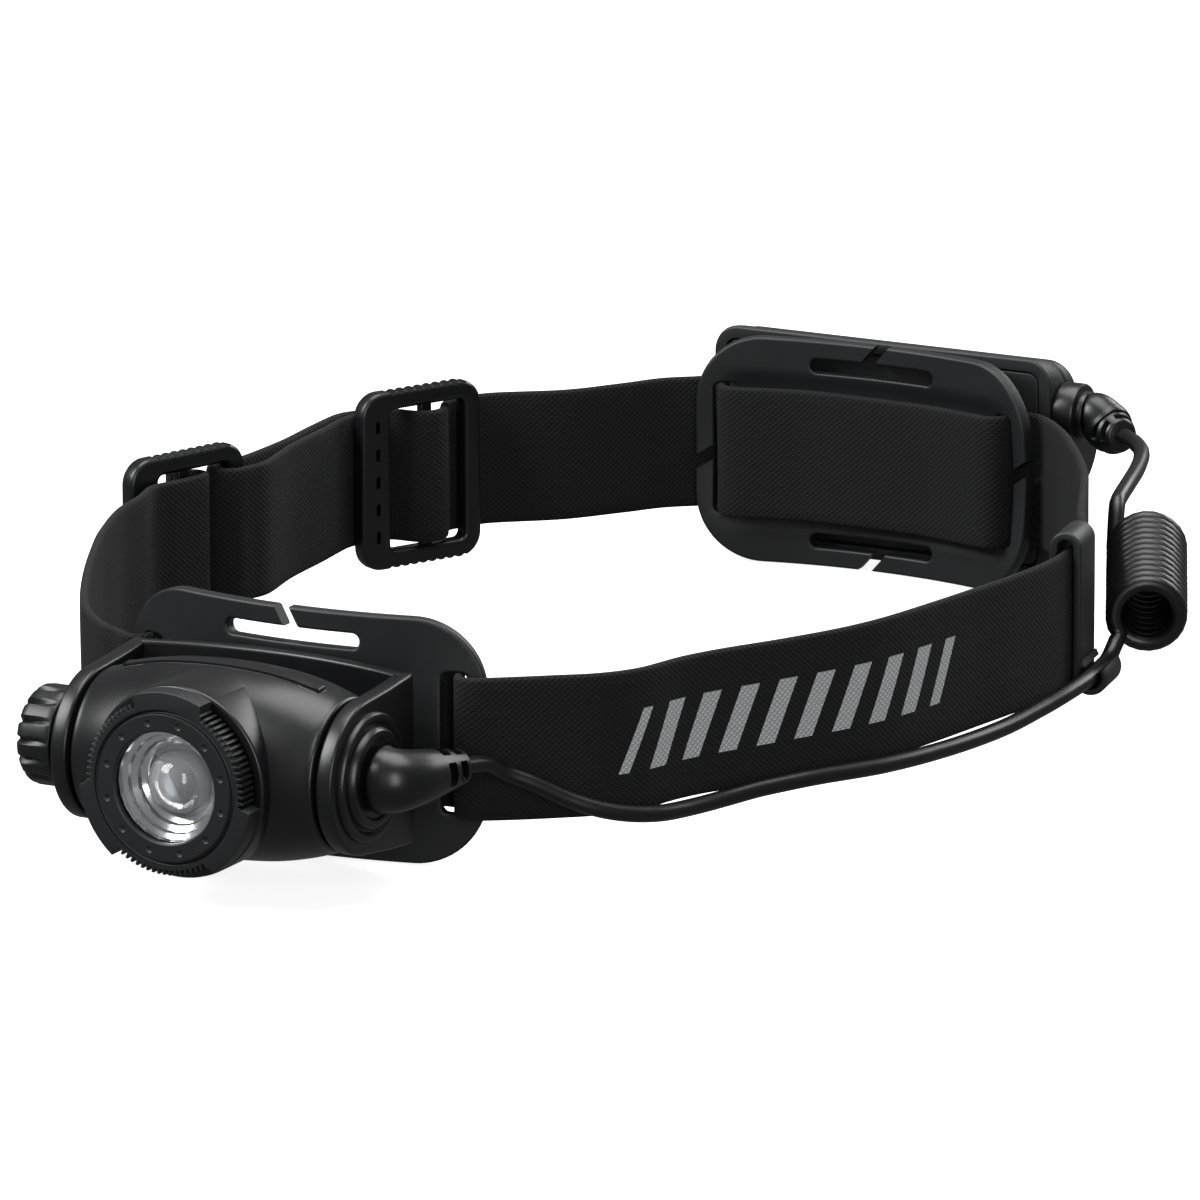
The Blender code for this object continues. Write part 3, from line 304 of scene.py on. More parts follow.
# %% Finishes for the model's own solids
BY_SLOT = {
    "moulded_grey": SPARK_NYLON, "lamp_black": SATIN_PC, "webbing": WEBBING, "rubber": SOFT_RUBBER,
    "cable_black": EXTRUDED_PVC, "aluminium": TURNED_ALUMINIUM, "chrome": METALLISED, "steel": ZINC_STEEL,
    "brass": PLAIN_BRASS, "clear": CLEAR_ACRYLIC, "circuit_green": SOLDER_MASK, "phosphor": PHOSPHOR,
    "cell_wrap": CELL_WRAP,
}
slot_of = {entry["node"]: entry["material_slot"] for entry in frame["record"]["subparts"]}
for node_name, node in frame["nodes"].items():
    node.data.materials.clear()
    node.data.materials.append(BY_SLOT[slot_of[node_name]])
print(len(slot_of), "CAD nodes carry", len(BY_SLOT), "finishes")

# %% [markdown]
# ## Building blocks
# Most pieces are one of three things: rings of points joined into a skin (a loft), a flat outline with
# rounded edges, or one solid cut from another. Whatever made it, a finished piece is named, smoothed, given
# its finish and told which body it rides on.

# %% Skins and finished pieces
def piece(name, points, faces, body, slot, finish, replaces=(), sharp=40):
    """A mesh from points in millimetres, named, finished and riding on its body."""
    mesh = bpy.data.meshes.new(name)
    mesh.from_pydata([at(*p) for p in points], [], faces)
    shape = in_scene(mesh)
    tidy_normals(shape)
    return declare(shape, name, body, finish, replaces, sharp)


def tidy_normals(shape):
    """Make every face of a closed mesh look outwards."""
    work = bmesh.new()
    work.from_mesh(shape.data)
    bmesh.ops.recalc_face_normals(work, faces=work.faces)
    work.to_mesh(shape.data)
    work.free()


def declare(shape, name, body, finish, replaces=(), sharp=40):
    """Name a finished shape, give it its finish, smooth it, hang it on its body and hide the parts it
    replaces.
    """
    shape.name = name
    shape.data.materials.clear()
    shape.data.materials.append(finish)
    shape.data.shade_smooth()
    shape.data.set_sharp_from_angle(angle=math.radians(sharp))
    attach(shape, body)
    if replaces:
        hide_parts(*replaces)
    return shape


def skin(rings, capped=True):
    """Faces that join equal closed rings of points in a row, with the two ends filled."""
    count = len(rings[0])
    points = [tuple(p) for ring in rings for p in ring]
    faces = []
    for row in range(len(rings) - 1):
        for i in range(count):
            j = (i + 1) % count
            faces.append((row * count + i, row * count + j, (row + 1) * count + j, (row + 1) * count + i))
    if capped:
        faces.append(tuple(range(count)))
        faces.append(tuple(range((len(rings) - 1) * count, len(rings) * count)))
    return points, faces


print("skins and pieces can be made")

# %% [markdown]
# A moulding with a flat outline is a 2D curve with holes. Blender fills it, gives it thickness and rounds
# its edges with the curve's bevel, and a negative offset keeps the outer size true.

# %% Flat outlines
WELD = 0.0005


def arc(centre, radius, start, end, steps):
    """Points along an arc in a plane, angles in degrees."""
    angles = np.radians(np.linspace(start, end, steps + 1))
    return [(centre[0] + radius * math.cos(a), centre[1] + radius * math.sin(a)) for a in angles]


def rounded_rectangle(width, height, radius, steps=8, centre=(0, 0)):
    """The outline of a rectangle with round corners."""
    outline = []
    for sx, sy, start in ((1, 1, 0), (-1, 1, 90), (-1, -1, 180), (1, -1, 270)):
        corner = (centre[0] + sx * (width / 2 - radius), centre[1] + sy * (height / 2 - radius))
        outline += arc(corner, radius, start, start + 90, steps)
    return outline


def slab(outlines, thickness, edge=0.4, place=None):
    """A solid with rounded edges from flat outlines, the first outside and the rest holes."""
    curve = bpy.data.curves.new("outline", "CURVE")
    curve.dimensions = "2D"
    curve.fill_mode = "BOTH"
    curve.extrude = thickness / 2 - edge
    curve.bevel_depth = edge
    curve.bevel_resolution = 3 if edge > 0.3 else 2
    curve.offset = -edge
    for outline in outlines:
        spline = curve.splines.new("POLY")
        spline.points.add(len(outline) - 1)
        for point, (x, y) in zip(spline.points, outline):
            point.co = (x, y, 0, 1)
        spline.use_cyclic_u = True
    drawn = in_scene(curve)
    graph = bpy.context.evaluated_depsgraph_get()
    mesh = bpy.data.meshes.new_from_object(drawn.evaluated_get(graph))
    bpy.data.objects.remove(drawn, do_unlink=True)
    work = bmesh.new()
    work.from_mesh(mesh)
    bmesh.ops.remove_doubles(work, verts=work.verts, dist=WELD)
    bmesh.ops.recalc_face_normals(work, faces=work.faces)
    work.to_mesh(mesh)
    work.free()
    if place is not None:
        mesh.transform(place)
    return in_scene(mesh)


print("flat outlines can be made")

# %% [markdown]
# A Boolean cuts or joins closed solids and leaves crisp edges, as a mould does. Round mouldings are turned
# from half a section, as on a lathe.

# %% Cut, joined and turned solids
def solid(points, faces):
    """A working shape in millimetres that isn't yet a piece."""
    mesh = bpy.data.meshes.new("work")
    mesh.from_pydata([tuple(p) for p in points], [], faces)
    shape = in_scene(mesh)
    tidy_normals(shape)
    return shape


def block(low, high):
    """A plain box between two corners, for cutting and joining."""
    x, y, z = zip(low, high)
    corners = ((0, 0), (1, 0), (1, 1), (0, 1))
    return solid(*skin([[(x[i], depth, z[k]) for i, k in corners] for depth in y]))


def carve(target, *tools, operation="DIFFERENCE"):
    """Cut tools from a working shape, or join them to it, and apply the result."""
    for tool in tools:
        modifier = target.modifiers.new("carve", "BOOLEAN")
        modifier.operation = operation
        modifier.object = tool
        modifier.solver = "EXACT"
    graph = bpy.context.evaluated_depsgraph_get()
    mesh = bpy.data.meshes.new_from_object(target.evaluated_get(graph))
    target.modifiers.clear()
    target.data = mesh
    for tool in tools:
        bpy.data.objects.remove(tool, do_unlink=True)
    return target


def to_model(shape):
    """Take a working shape from millimetres to its place in the model."""
    shape.data.transform(Matrix.Translation(DATUM) @ Matrix.Scale(MM, 4))
    return shape


def turned(profile, axis, centre, steps=96):
    """A closed lathe shape: (radius, height) pairs about an axis through a centre."""
    along = {"X": Vector((1, 0, 0)), "Y": Vector((0, 1, 0))}[axis]
    side = Vector((0, 0, 1))
    other = along.cross(side)
    rings = []
    for step in range(steps):
        a = 2 * math.pi * step / steps
        out = side * math.cos(a) + other * math.sin(a)
        rings.append([Vector(centre) + along * height + out * radius for radius, height in profile])
    points, faces = skin(rings + [rings[0]], capped=False)
    shape = solid(points, faces)
    work = bmesh.new()
    work.from_mesh(shape.data)
    bmesh.ops.remove_doubles(work, verts=work.verts, dist=WELD)
    bmesh.ops.dissolve_degenerate(work, edges=work.edges, dist=WELD)
    bmesh.ops.recalc_face_normals(work, faces=work.faces)
    work.to_mesh(shape.data)
    work.free()
    return shape


print("solids can be cut, joined and turned")

# %% [markdown]
# Cords and straps follow a few given points. A Catmull-Rom curve passes through every one of them,
# and its points are then spaced evenly, so that a section carried along it stays regular.

# %% Smooth routes
def smooth_route(points, spacing):
    """Points at an even spacing along a smooth curve through the given ones."""
    given = [np.array(p, float) for p in points]
    ends = [2 * given[0] - given[1]] + given + [2 * given[-1] - given[-2]]
    fine = []
    for a, b, c, d in zip(ends, ends[1:], ends[2:], ends[3:]):
        for t in np.linspace(0, 1, 24, endpoint=False):
            fine.append(0.5 * (2 * b + (c - a) * t + (2 * a - 5 * b + 4 * c - d) * t**2
                               + (3 * b - a - 3 * c + d) * t**3))
    fine = np.array(fine + [given[-1]])
    reach = np.concatenate([[0], np.cumsum(np.linalg.norm(np.diff(fine, axis=0), axis=1))])
    wanted = np.linspace(0, reach[-1], max(2, round(reach[-1] / spacing) + 1))
    return [tuple(np.interp(w, reach, fine[:, k]) for k in range(fine.shape[1])) for w in wanted]


print("routes can be drawn")

# %% [markdown]
# ## The cable
# One cord, 3 mm thick, goes from the strain relief on the lamp bracket to the battery's plug. It runs along
# the headband, through a clip, and springs into a close coil of 13 turns before the last short run. The
# straight stretches follow listed points and the coil is a helix worked out in a loop, so the cord is
# one open curve from end to end, and its length can be measured.

# %% Cable with its coil
CABLE_DIAMETER = 3.0
COIL_NEAR = Vector((90.2, 148.9, -3.3))
COIL_FAR = Vector((73.3, 184.4, -0.2))
COIL_TURNS = 13.1
COIL_RADIUS = 5.85
COIL_START = 215.0
STEPS_PER_TURN = 24
CORD_SPACING = 1.5
FRONT_RUN = [
    (37.5, -7.1, -0.1), (38.3, -3.6, -0.5), (38.9, 0.0, -1.5), (39.9, 2.6, -3.2), (43.8, 5.6, -5.3),
    (48.1, 9.0, -8.1), (52.5, 12.4, -10.3), (56.3, 16.9, -11.8), (59.3, 22.5, -12.7), (61.5, 29.8, -13.1),
    (64.0, 36.9, -13.0), (67.0, 43.0, -12.5), (70.3, 48.8, -12.2), (73.4, 54.6, -12.1), (79.2, 67.6, -12.5),
    (83.2, 83.8, -12.9), (85.7, 99.9, -12.9), (87.4, 112.1, -11.9), (88.5, 120.0, -10.9),
    (88.75, 128.2, -10.2), (87.62, 134.1, -10.2), (86.5, 140.0, -10.2), (86.1, 142.5, -9.6),
]
REAR_RUN = [
    (66.4, 186.2, 5.8), (65.4, 189.6, 6.8), (63.9, 196.0, 7.6), (61.1, 206.0, 8.2),
    (57.9, 214.4, 8.8), (53.5, 221.0, 8.8), (48.9, 225.75, 8.6),
]

along = (COIL_FAR - COIL_NEAR).normalized()
across = Vector((0, 0, 1)).cross(along).normalized() * -1
above = along.cross(across).normalized() * (1 if along.cross(across).z > 0 else -1)
coil = []
for step in range(round(COIL_TURNS * STEPS_PER_TURN) + 1):
    share = step / (COIL_TURNS * STEPS_PER_TURN)
    angle = math.radians(COIL_START - 360 * COIL_TURNS * share)
    centre = COIL_NEAR.lerp(COIL_FAR, share)
    coil.append(tuple(centre + across * COIL_RADIUS * math.cos(angle)
                      + above * COIL_RADIUS * math.sin(angle)))
lead_in = smooth_route(FRONT_RUN + [coil[0]], CORD_SPACING)
lead_out = smooth_route([coil[-1]] + REAR_RUN, CORD_SPACING)
cord_line = [Vector(p) for p in lead_in[:-1] + coil + lead_out[1:]]

cord_curve = bpy.data.curves.new("cable", "CURVE")
cord_curve.dimensions = "3D"
cord_curve.bevel_depth = CABLE_DIAMETER / 2 * MM
cord_curve.bevel_resolution = 5
cord_curve.use_fill_caps = True
spline = cord_curve.splines.new("POLY")
spline.points.add(len(cord_line) - 1)
for point, place in zip(spline.points, cord_line):
    point.co = (*at(*place), 1)
spline.use_smooth = True
cable = in_scene(cord_curve, "cable")
cord_curve.materials.append(EXTRUDED_PVC)
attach(cable, "headband")
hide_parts("cable_front_run", "cable_coil", "cable_rear_run")

# %% [markdown]
# A strain relief is soft PVC moulded round the cord's end. It tapers, and slots near its tip let it bend.
# Its skin is rings of points along a short bent route; inside a slot's window the ring is simply drawn
# smaller.

# %% Strain reliefs
RELIEF_SIDES = 96
WINDOW_START, WINDOW_END = 0.14, 0.86
TIP_ROUNDING = 0.45


def relief(name, route, radii, slots, replaces):
    """A tapered boot along a route. Slots are (start, end) from its tip, each cut as four windows round it."""
    line = smooth_route([(*p, r) for p, r in zip(route, radii)], 0.2)
    places = [Vector(p[:3]) for p in line]
    rings = []
    reach = 0.0
    normal = Vector((0, 0, 1))
    for i, (place, row) in enumerate(zip(places, line)):
        ahead = places[min(i + 1, len(places) - 1)] - places[max(i - 1, 0)]
        tangent = ahead.normalized()
        normal = (normal - tangent * normal.dot(tangent)).normalized()
        other = tangent.cross(normal)
        if i:
            reach += (place - places[i - 1]).length
        left = sum((b - a).length for a, b in zip(places[i:], places[i + 1:]))
        ring = []
        for side in range(RELIEF_SIDES):
            a = 2 * math.pi * side / RELIEF_SIDES
            radius = row[3]
            window = ((math.degrees(a) + 45) % 90) / 90
            if WINDOW_START < window < WINDOW_END and any(low < left < high for low, high in slots):
                radius = CABLE_DIAMETER / 2 + 0.12
            radius -= max(0.0, TIP_ROUNDING - left, TIP_ROUNDING - reach)**2 * 1.6
            ring.append(place + normal * radius * math.cos(a) + other * radius * math.sin(a))
        rings.append(ring)
    points, faces = skin(rings)
    return piece(name, points, faces, "headband", "cable_black", SOFT_PVC, replaces, 50)


BOOT_ROUTE = [(29.7, -21.2, 0), (30.8, -21.2, 0), (32.3, -20.5, 0), (33.8, -18.2, 0), (34.9, -15.0, 0),
              (35.9, -11.8, 0), (36.7, -9.4, 0), (37.3, -7.6, 0)]
BOOT_RADII = [5.9, 5.7, 5.4, 4.9, 4.4, 3.8, 3.3, 3.0]
PLUG_ROUTE = [(40.6, 229.4, 10.9), (41.6, 229.4, 10.9), (42.8, 229.4, 10.0), (44.0, 229.2, 9.1),
              (45.3, 228.4, 8.5), (46.8, 227.4, 8.4), (48.3, 226.3, 8.5)]
PLUG_RADII = [4.2, 4.3, 4.5, 4.6, 4.3, 3.7, 2.9]
boot = relief("lamp_strain_relief", BOOT_ROUTE, BOOT_RADII, ((1.3, 2.9), (4.3, 6.1)),
              ("cable_boot_front",))
plug = relief("battery_plug_relief", PLUG_ROUTE, PLUG_RADII, ((0.9, 1.9), (2.8, 3.8)),
              ("battery_plug",))
print("strain reliefs made:", boot.name, "and", plug.name)

# %% [markdown]
# ## Webbing
# A woven strap is a thin slab with soft edges, so its section is a long rounded rectangle. The section is
# carried along a smooth line in plan. The edges of real elastic wander a little, so a slow noise moves them
# by a few tenths of a millimetre. Each strip also gets a map of its length and width in metres, which the
# weave reads.

# %% Webbing strips
STRAP_WIDTH = 25.0
STRAP_THICKNESS = 1.6
EDGE_STEPS = 5
WAVER_RATE, RIPPLE_RATE = 0.035, 0.03
RIPPLE = 0.22


def strap_section():
    """Half-width and half-thickness offsets round the strap's section, with how far across each point is."""
    half = STRAP_WIDTH / 2
    thick = STRAP_THICKNESS / 2
    flat = half - thick
    turns = np.linspace(0, math.pi, EDGE_STEPS + 2)[1:-1]
    outline = [(z, thick) for z in np.linspace(-flat, flat, 15)]
    outline += [(flat + thick * math.sin(a), thick * math.cos(a)) for a in turns]
    outline += [(z, -thick) for z in np.linspace(flat, -flat, 15)]
    outline += [(-flat - thick * math.sin(a), -thick * math.cos(a)) for a in turns]
    return outline


def webbing_strip(name, route, replaces, finish=WEBBING, waver=0.25):
    """A strap along a route in plan, standing on its edge, with the map that the weave reads."""
    line = [Vector((x, y, 0)) for x, y in smooth_route(route, 0.8)]
    section = strap_section()
    rings = []
    reach = 0.0
    reaches = []
    for i, place in enumerate(line):
        if i:
            reach += (place - line[i - 1]).length
        reaches.append(reach)
        tangent = (line[min(i + 1, len(line) - 1)] - line[max(i - 1, 0)]).normalized()
        outward = Vector((tangent.y, -tangent.x, 0))
        ends = min(1.0, min(i, len(line) - 1 - i) / 20)
        ring = []
        for across_by, out_by in section:
            edge = noise.noise(Vector((reach * WAVER_RATE, 7.0 + (across_by > 0) * 9, len(name))))
            edge *= waver * ends
            ripple = noise.noise(Vector((reach * RIPPLE_RATE, across_by * 0.05, 3.0 + len(name))))
            ripple *= RIPPLE * ends
            z = across_by + edge * across_by / (STRAP_WIDTH / 2)
            ring.append(place + outward * (out_by + ripple) + Vector((0, 0, z)))
        rings.append(ring)
    points, faces = skin(rings)
    strip = piece(name, points, faces, "headband", "webbing", finish, replaces, 60)
    cloth = strip.data.uv_layers.new(name="cloth")
    count = len(section)
    for loop in strip.data.loops:
        row, column = divmod(loop.vertex_index, count)
        cloth.data[loop.index].uv = (reaches[row] * MM, section[column][0] * MM)
    print(name, round(reach), "mm")


# %% [markdown]
# The route of each strip comes from where it passes: behind the front plate's middle, out through the side
# slot, round the head, and in again at the rear plate. At the adjusters it doubles back round their bars.

# %% Routes through the plates and adjusters
FRONT_BUCKLE = ((-82.5, 107.1), (0.34, 0.94))
REAR_BUCKLE = ((-69.6, 171.2), (0.446, 0.895))


def beside(buckle, ahead, inward):
    """A point given along a buckle's line towards the rear, and inward towards the head."""
    (x, y), (dx, dy) = buckle
    return (x + ahead * dx + inward * dy, y + ahead * dy - inward * dx)


def through_front_plate(side):
    """Behind the plate's middle, then out through a side slot."""
    half = [(3.0, 5.15), (12, 5.9), (20, 7.3), (25.2, 8.8), (27.7, 8.6), (29.5, 6.4), (30.2, 4.4),
            (31.4, 2.7), (33.6, 2.7)]
    return [(side * x, y) for x, y in half]


def through_rear_plate(side):
    """In through a side slot and across the rear plate's middle."""
    half = [(33.6, 219.9), (31.4, 219.7), (30.2, 218.0), (29.5, 216.1), (27.7, 213.9), (25.0, 213.7),
            (17, 215.8), (9, 217.0)]
    return [(side * x, y) for x, y in half]


right_route = through_front_plate(1) + [
    (36.2, 4.3), (40.0, 6.9), (45.2, 10.8), (50.9, 15.5), (55.6, 22.4), (59.3, 34.0), (68.3, 52.1),
    (76.9, 71.5), (82.1, 98.9), (83.8, 109.6), (84.6, 120.0), (84.0, 128.5), (82.2, 138.0), (79.2, 146.0),
    (72.8, 158.0), (60.3, 185.2), (47.1, 206.0), (38.6, 216.2),
] + through_rear_plate(1)
main_route = right_route + through_rear_plate(-1)[::-1]
main_route += [(-36.2, 217.8), (-41.1, 213.6), (-45.9, 206.5), (-53.0, 196.8)]
over_the_bar = [(18, -2.6), (12, -3.0), (8.6, -2.8), (6.4, -0.6), (4.5, 1.7), (1.8, 2.5), (-1.0, 1.2),
                (-3.4, -2.6), (-6, -4.6), (-9, -5.0), (-14, -5.0)]
main_route += [beside(REAR_BUCKLE, ahead, inward) for ahead, inward in over_the_bar]
main_route += [(-80.0, 150.0), (-79.3, 138.0)]
main_route += [beside(FRONT_BUCKLE, ahead, inward) for ahead, inward in ((18, -3.4), (12.6, -2.95))]
webbing_strip("webbing_main", main_route, ("strap_front_right", "strap_rear_right", "strap_rear_left"),
              PRINTED_WEBBING)

loop_back = [(12.2, -3.1), (9.6, -3.0), (6.9, 0.0), (9.6, 3.0), (13, 3.1), (18, 2.2)]
adjuster = [beside(FRONT_BUCKLE, ahead, inward) for ahead, inward in loop_back]
adjuster += [(-76.3, 135.0), (-77.2, 148.0)]
adjuster += [beside(REAR_BUCKLE, ahead, -2.75) for ahead in (-13.6, -8.2)]
webbing_strip("webbing_adjuster_loop", adjuster, ("strap_adjuster_loop",), waver=0.1)

left_front = [(-2.6, 5.15)] + through_front_plate(-1)[1:]
left_front += [(-36.2, 4.3), (-41.2, 7.4), (-48.6, 15.0), (-54.6, 24.4), (-64.0, 41.8), (-72.0, 58.8),
               (-75.8, 68.4), (-79.6, 79.4), (-81.2, 89.1)]
behind_the_bar = [(-10, 3.1), (-4, 2.9), (0.4, 2.7), (3.2, 2.1), (4.3, 0.0), (2.6, -2.0), (-1.6, -2.3)]
left_front += [beside(FRONT_BUCKLE, ahead, inward) for ahead, inward in behind_the_bar]
webbing_strip("webbing_left_front", left_front, ("strap_front_left",), waver=0.3)

# %% [markdown]
# ## Front and rear plates
# Both plates are the same bent moulding. It is drawn flat, with rounded edges, side slots for the headband
# and long slots for a strap over the head. A slanted cut opens each slot so that webbing can be slid in.
# The flat solid is then sliced into narrow strips and rolled round a cylinder of 92 mm radius, and the face
# towards the head gets a shallow channel where the webbing lies.

# %% Bent plates
PLATE = {"width": 71.0, "height": 43.0, "thickness": 2.5, "corner": 13.0, "bend": 92.0}
SIDE_SLOT = {"width": 4.5, "height": 24.8, "x": 29.75}
TOP_SLOT = {"length": 25.9, "width": 2.7, "z": 16.66}
ENTRY_CUT = 2.9
CHANNEL_DEPTH = 0.75
END_DIP = 1.0


def strip_edges(shape, axis, low, high, step):
    """Slice a shape with parallel planes, so that it can bend smoothly."""
    work = bmesh.new()
    work.from_mesh(shape.data)
    normal = Vector((0, 0, 0))
    normal[axis] = 1
    for place in np.arange(low, high, step):
        point = normal * place
        bmesh.ops.bisect_plane(work, geom=work.verts[:] + work.edges[:] + work.faces[:], dist=0.0001,
                               plane_co=point, plane_no=normal)
    work.to_mesh(shape.data)
    work.free()


def ease(value, low, high):
    """0 below low, 1 above high, and smooth between."""
    t = min(1.0, max(0.0, (value - low) / (high - low)))
    return t * t * (3 - 2 * t)


def bent_plate(name, node, y, facing):
    """A plate whose hollow side faces +Y when facing is 1, and -Y when it is -1."""
    side = rounded_rectangle(SIDE_SLOT["width"], SIDE_SLOT["height"], 1.2, 4)
    top = rounded_rectangle(TOP_SLOT["length"], TOP_SLOT["width"], TOP_SLOT["width"] / 2 - 0.01, 8)
    outlines = [rounded_rectangle(PLATE["width"], PLATE["height"], PLATE["corner"], 20)]
    outlines += [[(x + s * SIDE_SLOT["x"], z) for x, z in side] for s in (1, -1)]
    outlines += [[(x, z + s * TOP_SLOT["z"]) for x, z in top] for s in (1, -1)]
    flat = slab(outlines, PLATE["thickness"], 0.5)
    w = ENTRY_CUT / 2
    h = PLATE["height"] / 2 + 1
    x = PLATE["width"] / 2 + 1
    lean = 0.0 if facing > 0 else 1.6
    foot, head = 1.0 + lean, -2.2 - 0.3 * lean
    across_cut = [(foot - w, TOP_SLOT["z"]), (foot + w, TOP_SLOT["z"]), (head + w, h), (head - w, h)]
    side_cut = [(SIDE_SLOT["x"], 0.6 + w), (SIDE_SLOT["x"], 0.6 - w), (x, -3.7 - w), (x, -3.7 + w)]
    cuts = [across_cut, side_cut] + [[(-a, -b) for a, b in cut] for cut in (across_cut, side_cut)]
    tools = [solid(*skin([[(a, b, z) for a, b in cut] for z in (-9, 9)])) for cut in cuts]
    carve(flat, *tools)
    strip_edges(flat, 0, -PLATE["width"] / 2, PLATE["width"] / 2, 1.5)
    strip_edges(flat, 1, -18.0, 18.1, 1.0)
    outer = PLATE["bend"] + PLATE["thickness"]
    for vertex in flat.data.vertices:
        x, z, depth = vertex.co
        depth = depth + PLATE["thickness"] / 2
        hollow = ease(depth, PLATE["thickness"] - 0.6, PLATE["thickness"])
        channel = (1 - ease(abs(z), 11.5, 16.0)) * (1 - ease(abs(x), 24.0, 34.0))
        depth -= CHANNEL_DEPTH * hollow * channel
        depth += END_DIP * ease(abs(x), 19.0, 33.0) * (ease(abs(z), 0.0, 18.0) - 1.0)
        a = x / outer
        r = outer - depth
        vertex.co = (facing * r * math.sin(a), y + facing * (outer - r * math.cos(a)), z)
    tidy_normals(flat)
    return declare(to_model(flat), name, "headband", SPARK_NYLON, (node,), 38)


bent_plate("front_bent_plate", "front_plate", 0.0, 1)
bent_plate("rear_bent_plate", "rear_plate", 222.5, -1)
print("plates bent to a radius of", PLATE["bend"], "mm")

# %% [markdown]
# ## Adjusters and the cable clip
# A ladder-lock adjuster is a nylon frame with a window for the webbing, a thin bar across it and ribs on
# its upper and lower edges for the fingers. The clip is a hook over the strap's edge with an open ring
# below it.

# %% Adjusters
BUCKLE = {"length": 26.8, "height": 33.6, "thickness": 3.4, "window_start": -6.9}
RIB_PITCH = 2.0


def prisms(outlines, low, high):
    """Several separate straight prisms as one working solid."""
    points, faces = [], []
    for outline in outlines:
        more, sides = skin([[(x, y, z) for x, y in outline] for z in (low, high)])
        faces += [tuple(i + len(points) for i in face) for face in sides]
        points += more
    return solid(points, faces)


def adjuster_buckle(name, node, place, bar_at, bar_thickness):
    """A ladder-lock frame at a place, which is a point in plan and a direction along the strap."""
    length, height, thickness = BUCKLE["length"], BUCKLE["height"], BUCKLE["thickness"]
    low, high = BUCKLE["window_start"], length / 2 - 3.7
    window = rounded_rectangle(high - low, STRAP_WIDTH + 1.6, 1.2, 6, ((low + high) / 2, 0))
    holes = [rounded_rectangle(0.9, 2.4, 0.4, 4, (-9.9, (row - 2) * 5.2)) for row in range(5)]
    shape = slab([rounded_rectangle(length, height, 4.6, 12), window], thickness, 0.9)
    notches = [arc((rib * RIB_PITCH - 6.4, side * (height / 2 + 0.1)), 0.78, 0, 337.5, 15)
               for rib in range(9) for side in (1, -1)]
    carve(shape, prisms(holes, -6, 6), prisms(notches, -6, 6))
    bar = slab([rounded_rectangle(2.6, STRAP_WIDTH + 2.6, 0.7, 4, (bar_at, 0))], bar_thickness, 0.45)
    carve(shape, bar, operation="UNION")
    (x, y), (dx, dy) = place
    shape.data.transform(Matrix(((dx, 0, dy, x), (dy, 0, -dx, y), (0, 1, 0, 0), (0, 0, 0, 1))))
    return declare(to_model(shape), name, "headband", SATIN_PC, (node,), 38)


adjuster_buckle("front_adjuster", "adjuster_buckle_front", FRONT_BUCKLE, -0.6, 2.0)
adjuster_buckle("rear_adjuster", "adjuster_buckle_rear", REAR_BUCKLE, 1.6, 1.6)

print("two adjusters made, with ribs", RIB_PITCH, "mm apart")

# %% Cable clip
CLIP_PLACE = ((83.1, 133.2), (-0.186, 0.9825))
CLIP_RING = (4.6, -10.2)
outer, shell, top = STRAP_THICKNESS / 2 + 0.6, 1.5, STRAP_WIDTH / 2 + 0.4
hook = [(outer, -STRAP_WIDTH / 2 - 0.4), (outer + shell, -STRAP_WIDTH / 2 - 0.8)]
hook += arc((0, top), outer + shell, 0, 180, 24) + [(-outer - shell, top - 3.2), (-outer, top - 3.2)]
hook += arc((0, top), outer, 180, 0, 20)
clip = slab([hook], 10.0, 0.45)
inner = CABLE_DIAMETER / 2 + 0.55
ring = slab([arc(CLIP_RING, inner + 1.2, 115, 395, 40) + arc(CLIP_RING, inner, 395, 115, 36)], 10.0, 0.35)
carve(clip, ring, operation="UNION")
(clip_x, clip_y), (clip_dx, clip_dy) = CLIP_PLACE
clip.data.transform(Matrix(((clip_dy, 0, clip_dx, clip_x), (-clip_dx, 0, clip_dy, clip_y), (0, 1, 0, 0),
                            (0, 0, 0, 1))))
declare(to_model(clip), "cable_clip", "headband", SPARK_NYLON, ("strap_cable_clip",), 38)
print("clip made for a cord of", CABLE_DIAMETER, "mm")

# %% [markdown]
# ## The lamp
# The housing is a barrel lying across, which swells towards its middle, and a short round hump to the
# front. Both are turned shapes joined together, hollowed, and split into a front and a rear shell.

# %% Lamp housing
PIVOT = (0.0, -21.2, 0.0)
HALF_LENGTH = 23.3
BARREL_LINE = [(13.0, 23.3), (14.7, 18.0), (16.0, 12.0), (16.6, 6.0), (16.8, 0.0)]
SPLIT_Y = -14.0
WALL = 1.6
BUSH_RADIUS = 4.25


def rod(radius, low, high):
    """The section of a plain round bar, for the lathe."""
    return [(0, low), (radius, low), (radius, high), (0, high)]


def barrel(grow, half, edge):
    """The barrel's crowned outline turned about the pivot axis, grown or shrunk by an amount."""
    line = smooth_route([(r, x) for r, x in BARREL_LINE] + [(r, -x) for r, x in BARREL_LINE[-2::-1]], 0.8)
    line = [(r + grow, x) for r, x in line if abs(x) < half - edge]
    end = line[0][0]
    corner = arc((half - edge, end - edge), edge, 0, 90, 5)
    outline = [(0, half)] + [(r, x) for x, r in corner] + line
    outline += [(r, -x) for x, r in corner[::-1]] + [(0, -half)]
    return turned(outline, "X", PIVOT, 160)


def hump(radius, front, edge):
    """The short round nose in front of the barrel."""
    line = [(0, front)] + [(radius - edge + edge * math.sin(a), front + edge - edge * math.cos(a))
                           for a in np.linspace(0, math.pi / 2, 6)] + [(radius, PIVOT[1]), (0, PIVOT[1])]
    return turned(line, "Y", (0, 0, 0), 160)


